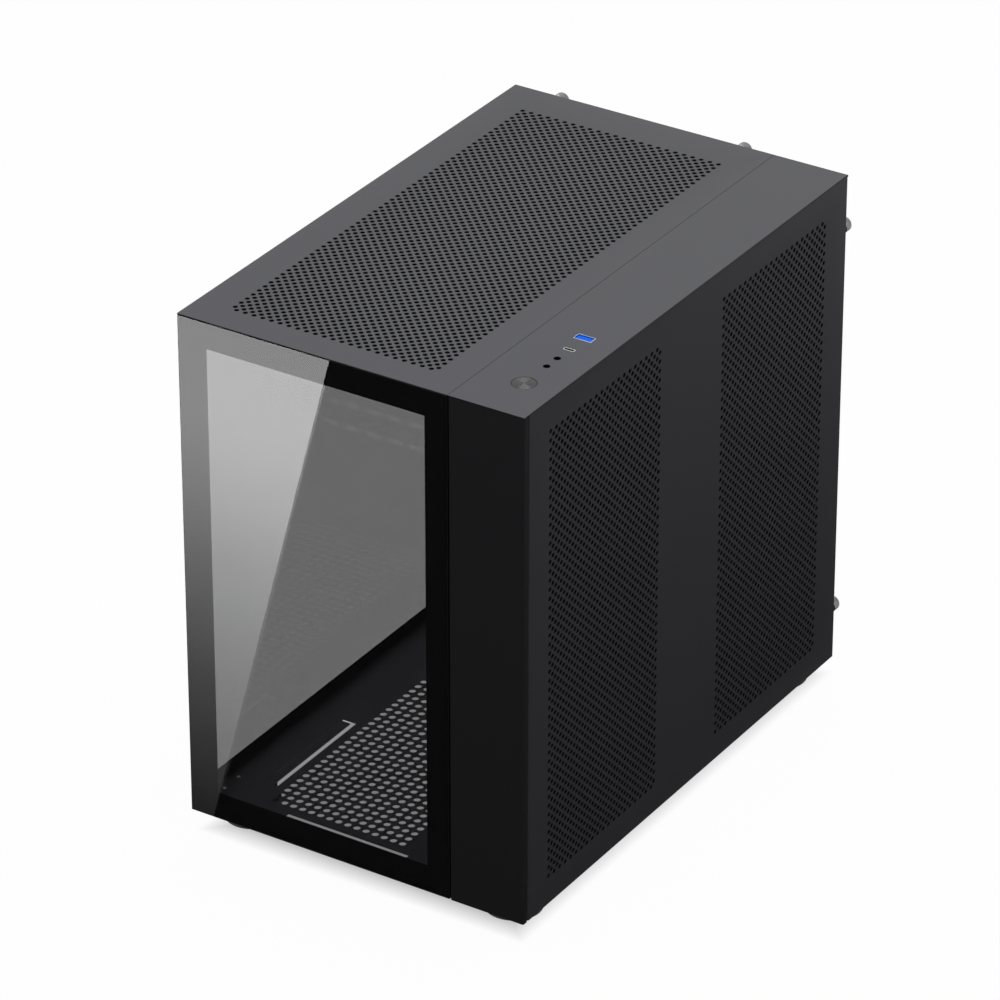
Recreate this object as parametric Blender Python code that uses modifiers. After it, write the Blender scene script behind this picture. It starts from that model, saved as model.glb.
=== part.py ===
"""Dual-chamber tower case for an ATX computer, with two glass sides.

A folded base pan, a rear wall, a hollow top frame and a front pillar make the
steel frame. The motherboard tray divides it into a wide main chamber behind
the glass and a narrow chamber for the power supply and the drives. The top
cover, the right panel and the left glass door hook into the frame and slide
to the rear once their thumbscrews are undone. Metres, +Z up.

The case frame has its origin at the lower front left corner of the body:
X to the right, Y to the rear and Z up.
"""
import math

import bmesh
import bpy
from mathutils import Matrix, Vector

MM = 0.001

# Body, without feet and thumbscrew heads
BODY_WIDTH = 285 * MM
BODY_DEPTH = 440 * MM
BODY_HEIGHT = 406 * MM

# Sheets, glass and clearances
SHEET = 1.0 * MM
TRIM_WALL = 1.2 * MM
GLASS = 4.0 * MM
SEAT = 0.3 * MM
COVER_GAP = 1.2 * MM
SEAM = 0.6 * MM
CUT_OVER = 2.0 * MM
SMALL_HOLE_RADIUS = 2.2 * MM
SMALL_HOLE_SIDES = 8

# Split of the width: the narrow chamber fits a power supply of 86 mm
TRIM_WIDTH = 61.5 * MM
CHAMBER_WIDTH = 90.0 * MM

# Base pan
FLOOR_HEIGHT = 11.0 * MM
FLOOR_MARGIN_LEFT = 8.4 * MM
FLOOR_MARGIN_FRONT = 7.8 * MM
FLOOR_MARGIN_RIGHT = 30.2 * MM
FLOOR_MARGIN_REAR = 48.6 * MM
FLOOR_HOLE_PITCH = 23.6 * MM
FLOOR_HOLE_RADIUS = 8.9 * MM
FLAP_LENGTH = 104.0 * MM
FLAP_WIDTH = 14.0 * MM
FLAP_GAP = 4.0 * MM
FLAP_END_GAP = 1.4 * MM
LEFT_FLAP_X = 31.0 * MM
LEFT_FLAP_Y = 47.0 * MM
FRONT_FLAP_X = 72.6 * MM
FRONT_FLAP_Y = 7.0 * MM
FLOOR_SCREW_X = 16.0 * MM
FLOOR_SCREW_FRONT_Y = 24.0 * MM
FLOOR_SCREW_REAR_Y = 42.0 * MM
FLOOR_SCREW_RADIUS = 2.6 * MM
FLOOR_SCREW_HEAD = 1.2 * MM

# Perforated fields of the top cover and the right panel
FINE_HOLE_RADIUS = 1.5 * MM
TOP_HOLE_SIDES = 6
HOLE_SIDES = 4
TOP_HOLE_RADIUS = 9.9 * MM
HOLE_RADIUS = 11.3 * MM
TOP_HALF_PITCH = 21.9 * MM
SIDE_HALF_PITCH = 24.7 * MM
TOP_MARGIN_LEFT = 26.4 * MM
TOP_MARGIN_RIGHT = 24.8 * MM
TOP_MARGIN_FRONT = 24.3 * MM
TOP_MARGIN_REAR = 34.9 * MM
SIDE_MARGIN_FRONT = 30.0 * MM
SIDE_MARGIN_REAR = 30.8 * MM
SIDE_MARGIN_LOW = 20.8 * MM
SIDE_MARGIN_HIGH = 22.8 * MM
SIDE_FIELD_GAP = 82.4 * MM

# Panels
COVER_FLANGE = 14.0 * MM
PANEL_REAR_FLANGE = 12.0 * MM
PANEL_FRONT_FLANGE = 8.0 * MM
PANEL_SEAM = 1.6 * MM
TRIM_DEPTH = 4.6 * MM
GLASS_RAIL = 16.0 * MM
GLASS_EDGE = 4.0 * MM
DOOR_FLANGE = 10.0 * MM
PANEL_TRAVEL = 10.0 * MM

# Hooks of the sliding panels
HOOK_NECK = 5.0 * MM
HOOK_TOE = 8.0 * MM
HOOK_THICK = 1.2 * MM
HOOK_REACH = 2.2 * MM
HOOK_CLEARANCE = 0.6 * MM
HOOK_FRONT_Y = 92.0 * MM
HOOK_REAR_SETBACK = 102.0 * MM
COVER_HOOK_INSET = 6.0 * MM

# Top frame
FRAME_HEIGHT = 17.7 * MM
LIP_WIDTH = 13.0 * MM
DIVIDER_LAP = 6.0 * MM
FAN_LEDGE_LEFT = 39.8 * MM
FAN_LEDGE_RIGHT = 15.6 * MM
FAN_LEDGE_END = 12.0 * MM
FAN_SLOT_LENGTH = 96.0 * MM
FAN_SLOT_WIDTH = 5.0 * MM
FAN_SLOT_INSET = 7.0 * MM
FAN_SLOT_PITCH = 120.0 * MM
CHAMBER_LEDGE = 14.0 * MM
CHAMBER_EDGE = 8.0 * MM

# Rear wall
WALL_RETURN = 20.0 * MM
NOTCH_RELIEF = 2.0 * MM

# Front pillar and the studs of the front glass
PILLAR_LAP = 19.5 * MM
PILLAR_INSET = 9.0 * MM
PILLAR_RETURN = 14.0 * MM
PILLAR_SLOT_WIDTH = 24.0 * MM
PILLAR_SLOT_LENGTH = 50.0 * MM
PILLAR_SLOT_PITCH = 80.0 * MM
PILLAR_SLOT_MARGIN = 40.0 * MM
STUD_RADIUS = 2.0 * MM
STUD_LENGTH = 6.0 * MM
FREE_STUD_INSET = 24.0 * MM
RIM_LAP = 1.0 * MM
PEG_OFFSET = 12.0 * MM
PEG_PROUD = 1.0 * MM

# Motherboard
BOARD_DROP = 16.0 * MM
BOARD_HEIGHT = 305.0 * MM
BOARD_DEPTH = 244.0 * MM
STANDOFF_HEIGHT = 6.5 * MM
STANDOFF_RADIUS = 3.0 * MM
STANDOFF_SIDES = 6
STANDOFF_INSET = 10.2 * MM
STANDOFF_SPACING_Y = (0.0, 157.5 * MM, 227.3 * MM)
STANDOFF_SPACING_Z = (0.0, 154.9 * MM, 281.9 * MM)
PORT_OPENING_WIDTH = 44.5 * MM
PORT_OPENING_HEIGHT = 158.8 * MM
PORT_OPENING_DROP = 2.0 * MM
PORT_OPENING_SIDE = 2.0 * MM
COOLER_OPENING = 136.0 * MM
COOLER_DROP = 82.0 * MM
COOLER_BACK = 96.0 * MM

# Side fans, which fill the room in front of the cable openings
SIDE_FAN_MARGIN = 12.75 * MM
SIDE_FAN_GAP = 8.0 * MM
SIDE_FAN_SIDES = 20
SIDE_FAN_SCREW_BACK = 3.5 * MM

# Cable openings and their grommets
CABLE_OPENING_LENGTH = 66.0 * MM
CABLE_OPENING_WIDTH = 26.0 * MM
CABLE_OPENING_SETBACK = 22.0 * MM
CABLE_OPENING_GAP = 26.0 * MM
CABLE_OPENING_RISE = 4.0 * MM
GROMMET_WALL = 2.4 * MM
GROMMET_LIP = 2.6 * MM
GROMMET_DEPTH = 5.0 * MM
GROMMET_LIP_THICK = 1.8 * MM
BOARD_SLOT_INSET = 36.0 * MM
BOARD_SLOT_PITCH = 86.0 * MM
LOWER_SLOT_LENGTH = 52.0 * MM
LOWER_SLOT_HEIGHT = 18.0 * MM
LOWER_SLOT_DROP = 8.0 * MM
UPPER_SLOT_LENGTH = 44.0 * MM
UPPER_SLOT_HEIGHT = 9.0 * MM
UPPER_SLOT_RISE = 3.0 * MM

# Expansion slots, as many as fit between the port opening and the floor
SLOT_PITCH = 20.32 * MM
SLOT_BELOW_PORTS = 17.2 * MM
SLOT_ABOVE_FLOOR = 45.0 * MM
SLOT_OPENING_HEIGHT = 13.0 * MM
SLOT_OPENING_LENGTH = 105.0 * MM
SLOT_SIDE = 6.0 * MM
SLOT_COVER_GAP = 1.92 * MM
SLOT_COVER_THICK = 0.9 * MM
SLOT_COVER_LAP = 4.0 * MM
SLOT_VENT_PITCH = 20.25 * MM
SLOT_VENT_LENGTH = 14.0 * MM
SLOT_VENT_HEIGHT = 5.0 * MM
SLOT_VENT_INSET = 12.0 * MM
RETAINER_WIDTH = 12.0 * MM
RETAINER_DEPTH = 9.0 * MM
RETAINER_GAP = 1.0 * MM
RETAINER_OVERRUN = 4.0 * MM
RETAINER_SCREW_INSET = 8.0 * MM
RETAINER_SCREW_RADIUS = 3.5 * MM
RETAINER_SCREW_HEAD = 3.0 * MM
SCREW_HEAD_SIDES = 12

# Rear fan grille, beside the port opening
REAR_FAN_MARGIN = 14.45 * MM
REAR_FAN_DROP = 63.0 * MM
REAR_FAN_SCREW_BACK = 4.5 * MM
GRILLE_PITCH = 15.8 * MM
GRILLE_RADIUS = 7.4 * MM
GRILLE_SIDES = 6

# Power supply, above the lower thumbscrew of the right panel
SUPPLY_HEIGHT = 150.0 * MM
SUPPLY_RIM = 6.0 * MM
SUPPLY_CLEARANCE = 1.7 * MM
FLANGE_CLEARANCE = 1.0 * MM
SHELF_DEPTH = 120.0 * MM
SHELF_SETBACK = 12.0 * MM
SHELF_MARGIN = 7.1 * MM
VENT_PITCH = 15.0 * MM
VENT_HEIGHT = 5.0 * MM
VENT_MARGIN = 13.55 * MM
VENT_RISE = 12.5 * MM
VENT_DROP = 70.0 * MM

# Drive cage and carriers
CAGE_GAP = 43.4 * MM
CAGE_DEPTH = 156.0 * MM
CAGE_MARGIN = 21.1 * MM
CAGE_HEIGHT = 112.0 * MM
CAGE_WINDOW_MARGIN = 14.0 * MM
CARRIER_CLEARANCE = 0.8 * MM
CARRIER_WALL = 2.0 * MM
CARRIER_HANDLE = 8.0 * MM
CARRIER_GRIP = 6.0 * MM

# Brackets for small drives
SSD_DEPTH = 78.0 * MM
SSD_HEIGHT = 106.0 * MM
SSD_STAND = 8.0 * MM
SSD_SETBACK = 21.6 * MM
SSD_DROP = 20.7 * MM
SSD_GAP = 8.0 * MM
SSD_WINDOW_MARGIN_Y = 23.4 * MM
SSD_WINDOW_MARGIN_Z = 21.2 * MM
SSD_SCREW_INSET_Y = 9.0 * MM
SSD_SCREW_INSET_Z = 14.0 * MM

# Thumbscrews
THUMB_RADIUS = 5.8 * MM
THUMB_HEIGHT = 7.6 * MM
THUMB_CHAMFER = 0.8 * MM
THUMB_EDGE = 0.4 * MM
THUMB_COLLAR_RADIUS = 3.6 * MM
THUMB_COLLAR = 1.1 * MM
THUMB_SHAFT_RADIUS = 1.75 * MM
THUMB_SHAFT = 6.5 * MM
THUMB_HOLE_RADIUS = 2.1 * MM
THUMB_SIDES = 14
COVER_SCREW_LEFT = 36.0 * MM
COVER_SCREW_INSET = 29.2 * MM
COVER_SCREW_DROP = 6.9 * MM
PANEL_SCREW_INSET = 6.2 * MM
PANEL_SCREW_DROP = 45.0 * MM
PANEL_SCREW_LOWER = 41.0 * MM
DOOR_SCREW_INSET = 10.6 * MM

# Feet
FOOT_HEIGHT = 18.0 * MM
FOOT_INSET_LEFT = 26.0 * MM
FOOT_INSET_RIGHT = 34.0 * MM
FOOT_INSET_FRONT = 41.0 * MM
FOOT_INSET_REAR = 23.0 * MM
FOOT_NECK_RADIUS = 19.0 * MM
FOOT_RADIUS = 22.0 * MM
FOOT_NECK = 1.0 * MM
FOOT_RECESS = 3.0 * MM
FOOT_EDGE = 1.0 * MM
PAD_PROUD = 1.0 * MM
PAD_RADIUS = 18.5 * MM
PAD_HEIGHT = 4.0 * MM
PAD_EDGE = 0.6 * MM
FOOT_SIDES = 16

# Button and ports, in one line from front to rear
PORT_INSET = 27.0 * MM
BUTTON_Y = 42.3 * MM
BUTTON_RADIUS = 9.0 * MM
BUTTON_EDGE = 0.4 * MM
BUTTON_CLEARANCE = 0.3 * MM
BUTTON_FLANGE_MARGIN = 1.4 * MM
BUTTON_FLANGE = 1.0 * MM
BUTTON_STEM_RADIUS = 2.5 * MM
BUTTON_STEM = 5.5 * MM
BUTTON_TRAVEL = 1.5 * MM
BUTTON_SIDES = 28
STEM_SIDES = 12
JACK_TO_BUTTON = 28.8 * MM
JACK_PITCH = 13.6 * MM
JACK_RADIUS = 2.8 * MM
JACK_BORE = 1.75 * MM
JACK_DEPTH = 11.0 * MM
JACK_SIDES = 16
USB_C_TO_JACK = 15.6 * MM
USB_C_LENGTH = 9.2 * MM
USB_C_WIDTH = 3.4 * MM
USB_C_WALL = 0.4 * MM
USB_C_TONGUE = 0.8 * MM
USB_C_TONGUE_INSET = 1.4 * MM
USB_C_TONGUE_DROP = 1.0 * MM
USB_A_TO_USB_C = 20.0 * MM
USB_A_LENGTH = 13.4 * MM
USB_A_WIDTH = 5.8 * MM
USB_A_WALL = 0.45 * MM
USB_A_TONGUE = 2.0 * MM
USB_A_TONGUE_INSET = 1.1 * MM
USB_A_TONGUE_DROP = 0.8 * MM
SHELL_DEPTH = 11.0 * MM
MODULE_WIDTH = 34.0 * MM
MODULE_FRONT_MARGIN = 15.3 * MM
MODULE_REAR_MARGIN = 13.7 * MM
MODULE_DEPTH = 13.0 * MM
MODULE_CLEARANCE = 5.0 * MM
MODULE_FRONT_CLEARANCE = 3.0 * MM
PORT_BOARD_THICK = 1.6 * MM
PORT_BOARD_MARGIN = 2.0 * MM
PORT_RECESS = 0.1 * MM

# Derived places, all in the case frame
GLASS_WIDTH = BODY_WIDTH - TRIM_WIDTH
FRAME_LEFT = GLASS + SEAT + SHEET + SEAT
FRAME_FRONT = GLASS + SEAT + SHEET + SEAT
FRAME_RIGHT = BODY_WIDTH - SHEET - 2 * SEAT
WALL_REAR = BODY_DEPTH - SHEET - SEAT
WALL_FRONT = WALL_REAR - SHEET
FRAME_REAR = WALL_FRONT - SEAT
GLASS_TOP = BODY_HEIGHT - SHEET - COVER_GAP
FRAME_TOP = BODY_HEIGHT - SHEET - SEAT
FRAME_BASE = FRAME_TOP - FRAME_HEIGHT
TRAY_BASE = FLOOR_HEIGHT + SEAT
TRAY_TOP = FRAME_BASE - SEAT
TRAY_X = BODY_WIDTH - CHAMBER_WIDTH
TRAY_BACK = TRAY_X + SHEET
TRAY_FRONT = FRAME_FRONT + PILLAR_RETURN + SEAT
BOARD_TOP = FRAME_BASE - BOARD_DROP
BOARD_BASE = BOARD_TOP - BOARD_HEIGHT
BOARD_REAR = FRAME_REAR - SHEET
BOARD_FRONT = BOARD_REAR - BOARD_DEPTH
PILLAR_LEFT = GLASS_WIDTH - PILLAR_LAP
PILLAR_RIGHT = BODY_WIDTH - PILLAR_INSET
PANEL_FRONT = TRIM_DEPTH + PANEL_SEAM
TRIM_LEFT = GLASS_WIDTH + SEAM / 2
COVER_RIGHT = GLASS_WIDTH - SEAM / 2
HOOK_REAR_Y = BODY_DEPTH - HOOK_REAR_SETBACK
THUMB_STAND = SEAT + THUMB_COLLAR + THUMB_HEIGHT
PANEL_SCREW_UPPER = BODY_HEIGHT - PANEL_SCREW_DROP
PORT_LINE_X = BODY_WIDTH - PORT_INSET
JACK_FRONT_Y = BUTTON_Y + JACK_TO_BUTTON
JACK_REAR_Y = JACK_FRONT_Y + JACK_PITCH
USB_C_Y = JACK_REAR_Y + USB_C_TO_JACK
USB_A_Y = USB_C_Y + USB_A_TO_USB_C
BUTTON_FLANGE_RADIUS = BUTTON_RADIUS + BUTTON_FLANGE_MARGIN
MODULE_FRONT_Y = BUTTON_Y - MODULE_FRONT_MARGIN
MODULE_REAR_Y = USB_A_Y + MODULE_REAR_MARGIN
DIVIDER_LEFT = TRAY_X - DIVIDER_LAP
DIVIDER_RIGHT = PORT_LINE_X - MODULE_WIDTH / 2 - MODULE_CLEARANCE
PORT_OPENING_RIGHT = TRAY_X - PORT_OPENING_SIDE
PORT_OPENING_LEFT = PORT_OPENING_RIGHT - PORT_OPENING_WIDTH
PORT_OPENING_TOP = BOARD_TOP - PORT_OPENING_DROP
PORT_OPENING_BASE = PORT_OPENING_TOP - PORT_OPENING_HEIGHT
FIRST_SLOT_Z = PORT_OPENING_BASE - SLOT_BELOW_PORTS
SLOT_COUNT = int((FIRST_SLOT_Z - FLOOR_HEIGHT - SLOT_ABOVE_FLOOR) / SLOT_PITCH) + 1
SLOT_RIGHT = TRAY_X - SLOT_SIDE
SLOT_LEFT = SLOT_RIGHT - SLOT_OPENING_LENGTH
SLOT_COVER_HEIGHT = SLOT_PITCH - SLOT_COVER_GAP
REAR_FAN_X = (FRAME_LEFT + PORT_OPENING_LEFT) / 2
REAR_FAN_Z = BOARD_TOP - REAR_FAN_DROP
REAR_FAN_RADIUS = (PORT_OPENING_LEFT - FRAME_LEFT) / 2 - REAR_FAN_MARGIN
CABLE_OPENING_Y = BOARD_FRONT - CABLE_OPENING_SETBACK
CABLE_OPENING_FRONT = CABLE_OPENING_Y - CABLE_OPENING_WIDTH / 2
CABLE_OPENING_BASE = TRAY_BASE + CAGE_HEIGHT + CABLE_OPENING_RISE
CABLE_OPENING_PITCH = CABLE_OPENING_LENGTH + CABLE_OPENING_GAP
SIDE_FAN_Y = (TRAY_FRONT + CABLE_OPENING_FRONT) / 2
SIDE_FAN_RADIUS = (CABLE_OPENING_FRONT - TRAY_FRONT) / 2 - SIDE_FAN_MARGIN
SIDE_FAN_PITCH = 2 * SIDE_FAN_RADIUS + SIDE_FAN_GAP
SUPPLY_LEFT = TRAY_BACK + SEAT
SUPPLY_BASE = PANEL_SCREW_LOWER + THUMB_RADIUS + SUPPLY_CLEARANCE - SUPPLY_RIM
SUPPLY_TOP = SUPPLY_BASE + SUPPLY_HEIGHT
SUPPLY_OPENING_X = (SUPPLY_LEFT + SUPPLY_RIM, FRAME_RIGHT - SHEET - SUPPLY_RIM)
SUPPLY_OPENING_Z = (SUPPLY_BASE + SUPPLY_RIM, SUPPLY_TOP - SUPPLY_RIM)
SHELF_FRONT = FRAME_REAR - SHELF_SETBACK - SHELF_DEPTH
CAGE_FRONT = SHELF_FRONT - CAGE_GAP - CAGE_DEPTH
CAGE_TOP = TRAY_BASE + CAGE_HEIGHT
SSD_FRONT = BOARD_FRONT + SSD_SETBACK
SSD_TOP = TRAY_TOP - SSD_DROP
SSD_PITCH = SSD_HEIGHT + SSD_GAP

# Scene, collections and the frame empties

for old in list(bpy.data.objects):
    bpy.data.objects.remove(old, do_unlink=True)

PARTS = bpy.data.collections.new("atx_case")
CUTTERS = bpy.data.collections.new("cutters")
bpy.context.scene.collection.children.link(PARTS)
bpy.context.scene.collection.children.link(CUTTERS)


def empty(name, origin, parent=None):
    """An empty at a point of the case frame, which groups what moves together."""
    holder = bpy.data.objects.new(name, None)
    holder.empty_display_size = 0.02
    PARTS.objects.link(holder)
    holder.location = Vector(origin)
    if parent is not None:
        holder.parent = parent
    return holder


CASE = empty("case_frame", (-BODY_WIDTH / 2, -(BODY_DEPTH + THUMB_STAND) / 2, FOOT_HEIGHT))
COVER_SLIDE = empty("top_cover_slide", (COVER_RIGHT / 2, BODY_DEPTH / 2, BODY_HEIGHT), CASE)
PANEL_SLIDE = empty("right_panel_slide", (BODY_WIDTH, BODY_DEPTH / 2, BODY_HEIGHT / 2), CASE)
DOOR_SLIDE = empty("left_door_slide", (0, BODY_DEPTH / 2, BODY_HEIGHT / 2), CASE)


def material(name, colour, roughness, metallic=0.0, transmission=0.0):
    """A Principled material in one plain colour."""
    made = bpy.data.materials.new(name)
    made.use_nodes = True
    shader = made.node_tree.nodes["Principled BSDF"]
    shader.inputs["Base Color"].default_value = (*colour, 1)
    shader.inputs["Roughness"].default_value = roughness
    shader.inputs["Metallic"].default_value = metallic
    shader.inputs["Transmission Weight"].default_value = transmission
    made.diffuse_color = (*colour, 1)
    made.metallic = metallic
    made.roughness = roughness
    return made


STEEL = ("black_powder_coat", (0.022, 0.022, 0.024), 0.5, 0.1)
TINTED = ("tinted_glass", (0.05, 0.05, 0.055), 0.05, 0.0, 0.8)
RUBBER = ("black_rubber", (0.012, 0.012, 0.012), 0.85)
PLASTIC = ("black_plastic", (0.015, 0.015, 0.016), 0.55)
BARE_METAL = ("nickel_plate", (0.55, 0.55, 0.54), 0.28, 1.0)
SCREW_METAL = ("dark_nickel", (0.18, 0.18, 0.18), 0.35, 1.0)
SPUN_METAL = ("spun_grey_metal", (0.3, 0.3, 0.31), 0.3, 1.0)
BLUE = ("blue_plastic", (0.0, 0.08, 0.75), 0.4)
CIRCUIT = ("circuit_board", (0.01, 0.02, 0.015), 0.6)


def local(parent, point):
    """A point of the case frame, in the frame of a parent empty."""
    return Vector(point) - (parent.location if parent is not CASE else Vector())


def finish(mesh_object, look, parent=None):
    """Give a piece its own material and put it in the case's collection."""
    parent = parent or CASE
    mesh_object.data.materials.clear()
    mesh_object.data.materials.append(material(mesh_object.name + "_finish", *look[1:]))
    PARTS.objects.link(mesh_object)
    mesh_object.parent = parent
    mesh_object.location = local(parent, mesh_object.location)
    return mesh_object


def mesh_from(name, bm):
    mesh = bpy.data.meshes.new(name)
    bm.to_mesh(mesh)
    bm.free()
    return mesh


def block(name, x, y, z, look, parent=None):
    """A rectangular piece between two values on each axis."""
    low, high = Vector((x[0], y[0], z[0])), Vector((x[1], y[1], z[1]))
    bm = bmesh.new()
    bmesh.ops.create_cube(bm, size=1, matrix=Matrix.Diagonal((*(high - low), 1)))
    piece = bpy.data.objects.new(name, mesh_from(name, bm))
    piece.location = (low + high) / 2
    return finish(piece, look, parent)


def open_box(name, x, y, z, open_side, look, parent=None):
    """A sheet tray: a box with one side left off and walls inside its outline."""
    low, high = Vector((x[0], y[0], z[0])), Vector((x[1], y[1], z[1]))
    bm = bmesh.new()
    bmesh.ops.create_cube(bm, size=1, matrix=Matrix.Diagonal((*(high - low), 1)))
    bm.normal_update()
    lost = [face for face in bm.faces if face.normal.dot(Vector(open_side)) > 0.9]
    bmesh.ops.delete(bm, geom=lost, context="FACES")
    piece = bpy.data.objects.new(name, mesh_from(name, bm))
    piece.location = (low + high) / 2
    thicken(piece, SHEET)
    return finish(piece, look, parent)


def thicken(piece, thickness, offset=-1):
    """Sheet thickness, laid to one side of the modelled surface."""
    solid = piece.modifiers.new("thickness", "SOLIDIFY")
    solid.thickness = thickness
    solid.offset = offset
    solid.use_even_offset = True


def folded(name, path, along, span, look, thickness=SHEET, offset=-1, parent=None):
    """A folded sheet: an open path in the two other axes, drawn out along one."""
    first, second = [axis for axis in range(3) if axis != along]
    bm = bmesh.new()
    row = []
    for point in path:
        place = [0.0, 0.0, 0.0]
        place[first], place[second], place[along] = point[0], point[1], span[0]
        row.append(bm.verts.new(place))
    edges = [bm.edges.new(pair) for pair in zip(row, row[1:])]
    drawn = bmesh.ops.extrude_edge_only(bm, edges=edges)
    step = Vector((0, 0, 0))
    step[along] = span[1] - span[0]
    moved = [item for item in drawn["geom"] if isinstance(item, bmesh.types.BMVert)]
    bmesh.ops.translate(bm, verts=moved, vec=step)
    bmesh.ops.recalc_face_normals(bm, faces=bm.faces)
    piece = bpy.data.objects.new(name, mesh_from(name, bm))
    thicken(piece, thickness, offset)
    return finish(piece, look, parent)


def turned(name, profile, centre, look, steps, tilt=(0, 0, 0), parent=None):
    """A turned piece: a profile of radius and height, from its top to its foot."""
    mesh = bpy.data.meshes.new(name)
    points = [(radius, 0, height) for radius, height in profile]
    mesh.from_pydata(points, [(i, i + 1) for i in range(len(points) - 1)], [])
    piece = bpy.data.objects.new(name, mesh)
    piece.location = Vector(centre)
    piece.rotation_euler = tilt
    lathe = piece.modifiers.new("turning", "SCREW")
    lathe.steps = steps
    lathe.render_steps = steps
    lathe.use_merge_vertices = True
    lathe.merge_threshold = 0.00005
    lathe.use_smooth_shade = False
    return finish(piece, look, parent)


def track(centre, length, width, steps=3):
    """Outline of a slot with round ends, its length on the first axis."""
    radius = min(length, width) / 2
    reach = Vector((max(length - width, 0) / 2, max(width - length, 0) / 2))
    points = []
    for turn in range(2):
        middle = Vector(centre) + (reach if turn == 0 else -reach)
        start = -math.pi / 2 if length >= width else 0
        for step in range(steps + 1):
            angle = start + math.pi * (turn + step / steps)
            points.append(middle + radius * Vector((math.cos(angle), math.sin(angle))))
    return points


class Shapes:
    """Closed shapes in the case frame, which one piece loses or gains."""

    def __init__(self, name):
        self.name = name
        self.bm = bmesh.new()

    def box(self, x, y, z):
        low, high = Vector((x[0], y[0], z[0])), Vector((x[1], y[1], z[1]))
        matrix = Matrix.Translation((low + high) / 2) @ Matrix.Diagonal((*(high - low), 1))
        bmesh.ops.create_cube(self.bm, size=1, matrix=matrix)
        return self

    def prism(self, centre, radius, sides, along, span, turn=0.0):
        """A straight prism or cylinder along one axis, over a span of that axis."""
        middle = Vector(centre)
        middle[along] = (span[0] + span[1]) / 2
        tilts = (Matrix.Rotation(math.pi / 2, 4, "Y"), Matrix.Rotation(math.pi / 2, 4, "X"), Matrix())
        matrix = Matrix.Translation(middle) @ tilts[along] @ Matrix.Rotation(turn, 4, "Z")
        bmesh.ops.create_cone(self.bm, cap_ends=True, segments=sides, radius1=radius,
                              radius2=radius, depth=span[1] - span[0], matrix=matrix)
        return self

    def outline(self, points, along, span):
        """A flat outline in the two other axes, drawn out along one."""
        first, second = [axis for axis in range(3) if axis != along]
        loop = []
        for point in points:
            place = [0.0, 0.0, 0.0]
            place[first], place[second], place[along] = point[0], point[1], span[0]
            loop.append(self.bm.verts.new(place))
        base = self.bm.faces.new(loop)
        drawn = bmesh.ops.extrude_face_region(self.bm, geom=[base])
        moved = [item for item in drawn["geom"] if isinstance(item, bmesh.types.BMVert)]
        step = Vector((0, 0, 0))
        step[along] = span[1] - span[0]
        bmesh.ops.translate(self.bm, verts=moved, vec=step)
        linked = {face for vert in moved + loop for face in vert.link_faces}
        bmesh.ops.recalc_face_normals(self.bm, faces=list(linked))
        return self

    def apply(self, piece, operation="DIFFERENCE"):
        shape = bpy.data.objects.new(self.name, mesh_from(self.name, self.bm))
        CUTTERS.objects.link(shape)
        shape.parent = CASE
        shape.hide_render = True
        shape.display_type = "WIRE"
        change = piece.modifiers.new(self.name, "BOOLEAN")
        change.operation = operation
        change.solver = "EXACT"
        change.object = shape
        return piece


def spread(start, length, pitch):
    """Even places at about a pitch, centred in a length."""
    gaps = max(int(round(length / pitch)), 1)
    return [start + length * index / gaps for index in range(gaps + 1)]


def staggered(half_pitch, radius, first_start, first_length, second_start, second_length):
    """Hole centres of a perforated field: rows shifted by half a pitch, as punched.

    The holes are coarser than the real ones, so they start further in.
    """
    edge = radius - FINE_HOLE_RADIUS
    rows = spread(second_start + edge, second_length - 2 * edge, half_pitch)
    columns = spread(first_start + edge, first_length - 2 * edge, half_pitch)
    return [(column, row) for j, row in enumerate(rows) for i, column in enumerate(columns)
            if (i + j) % 2 == 0]


# Base pan: an inverted tray with a perforated floor and two lanced flaps

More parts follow.
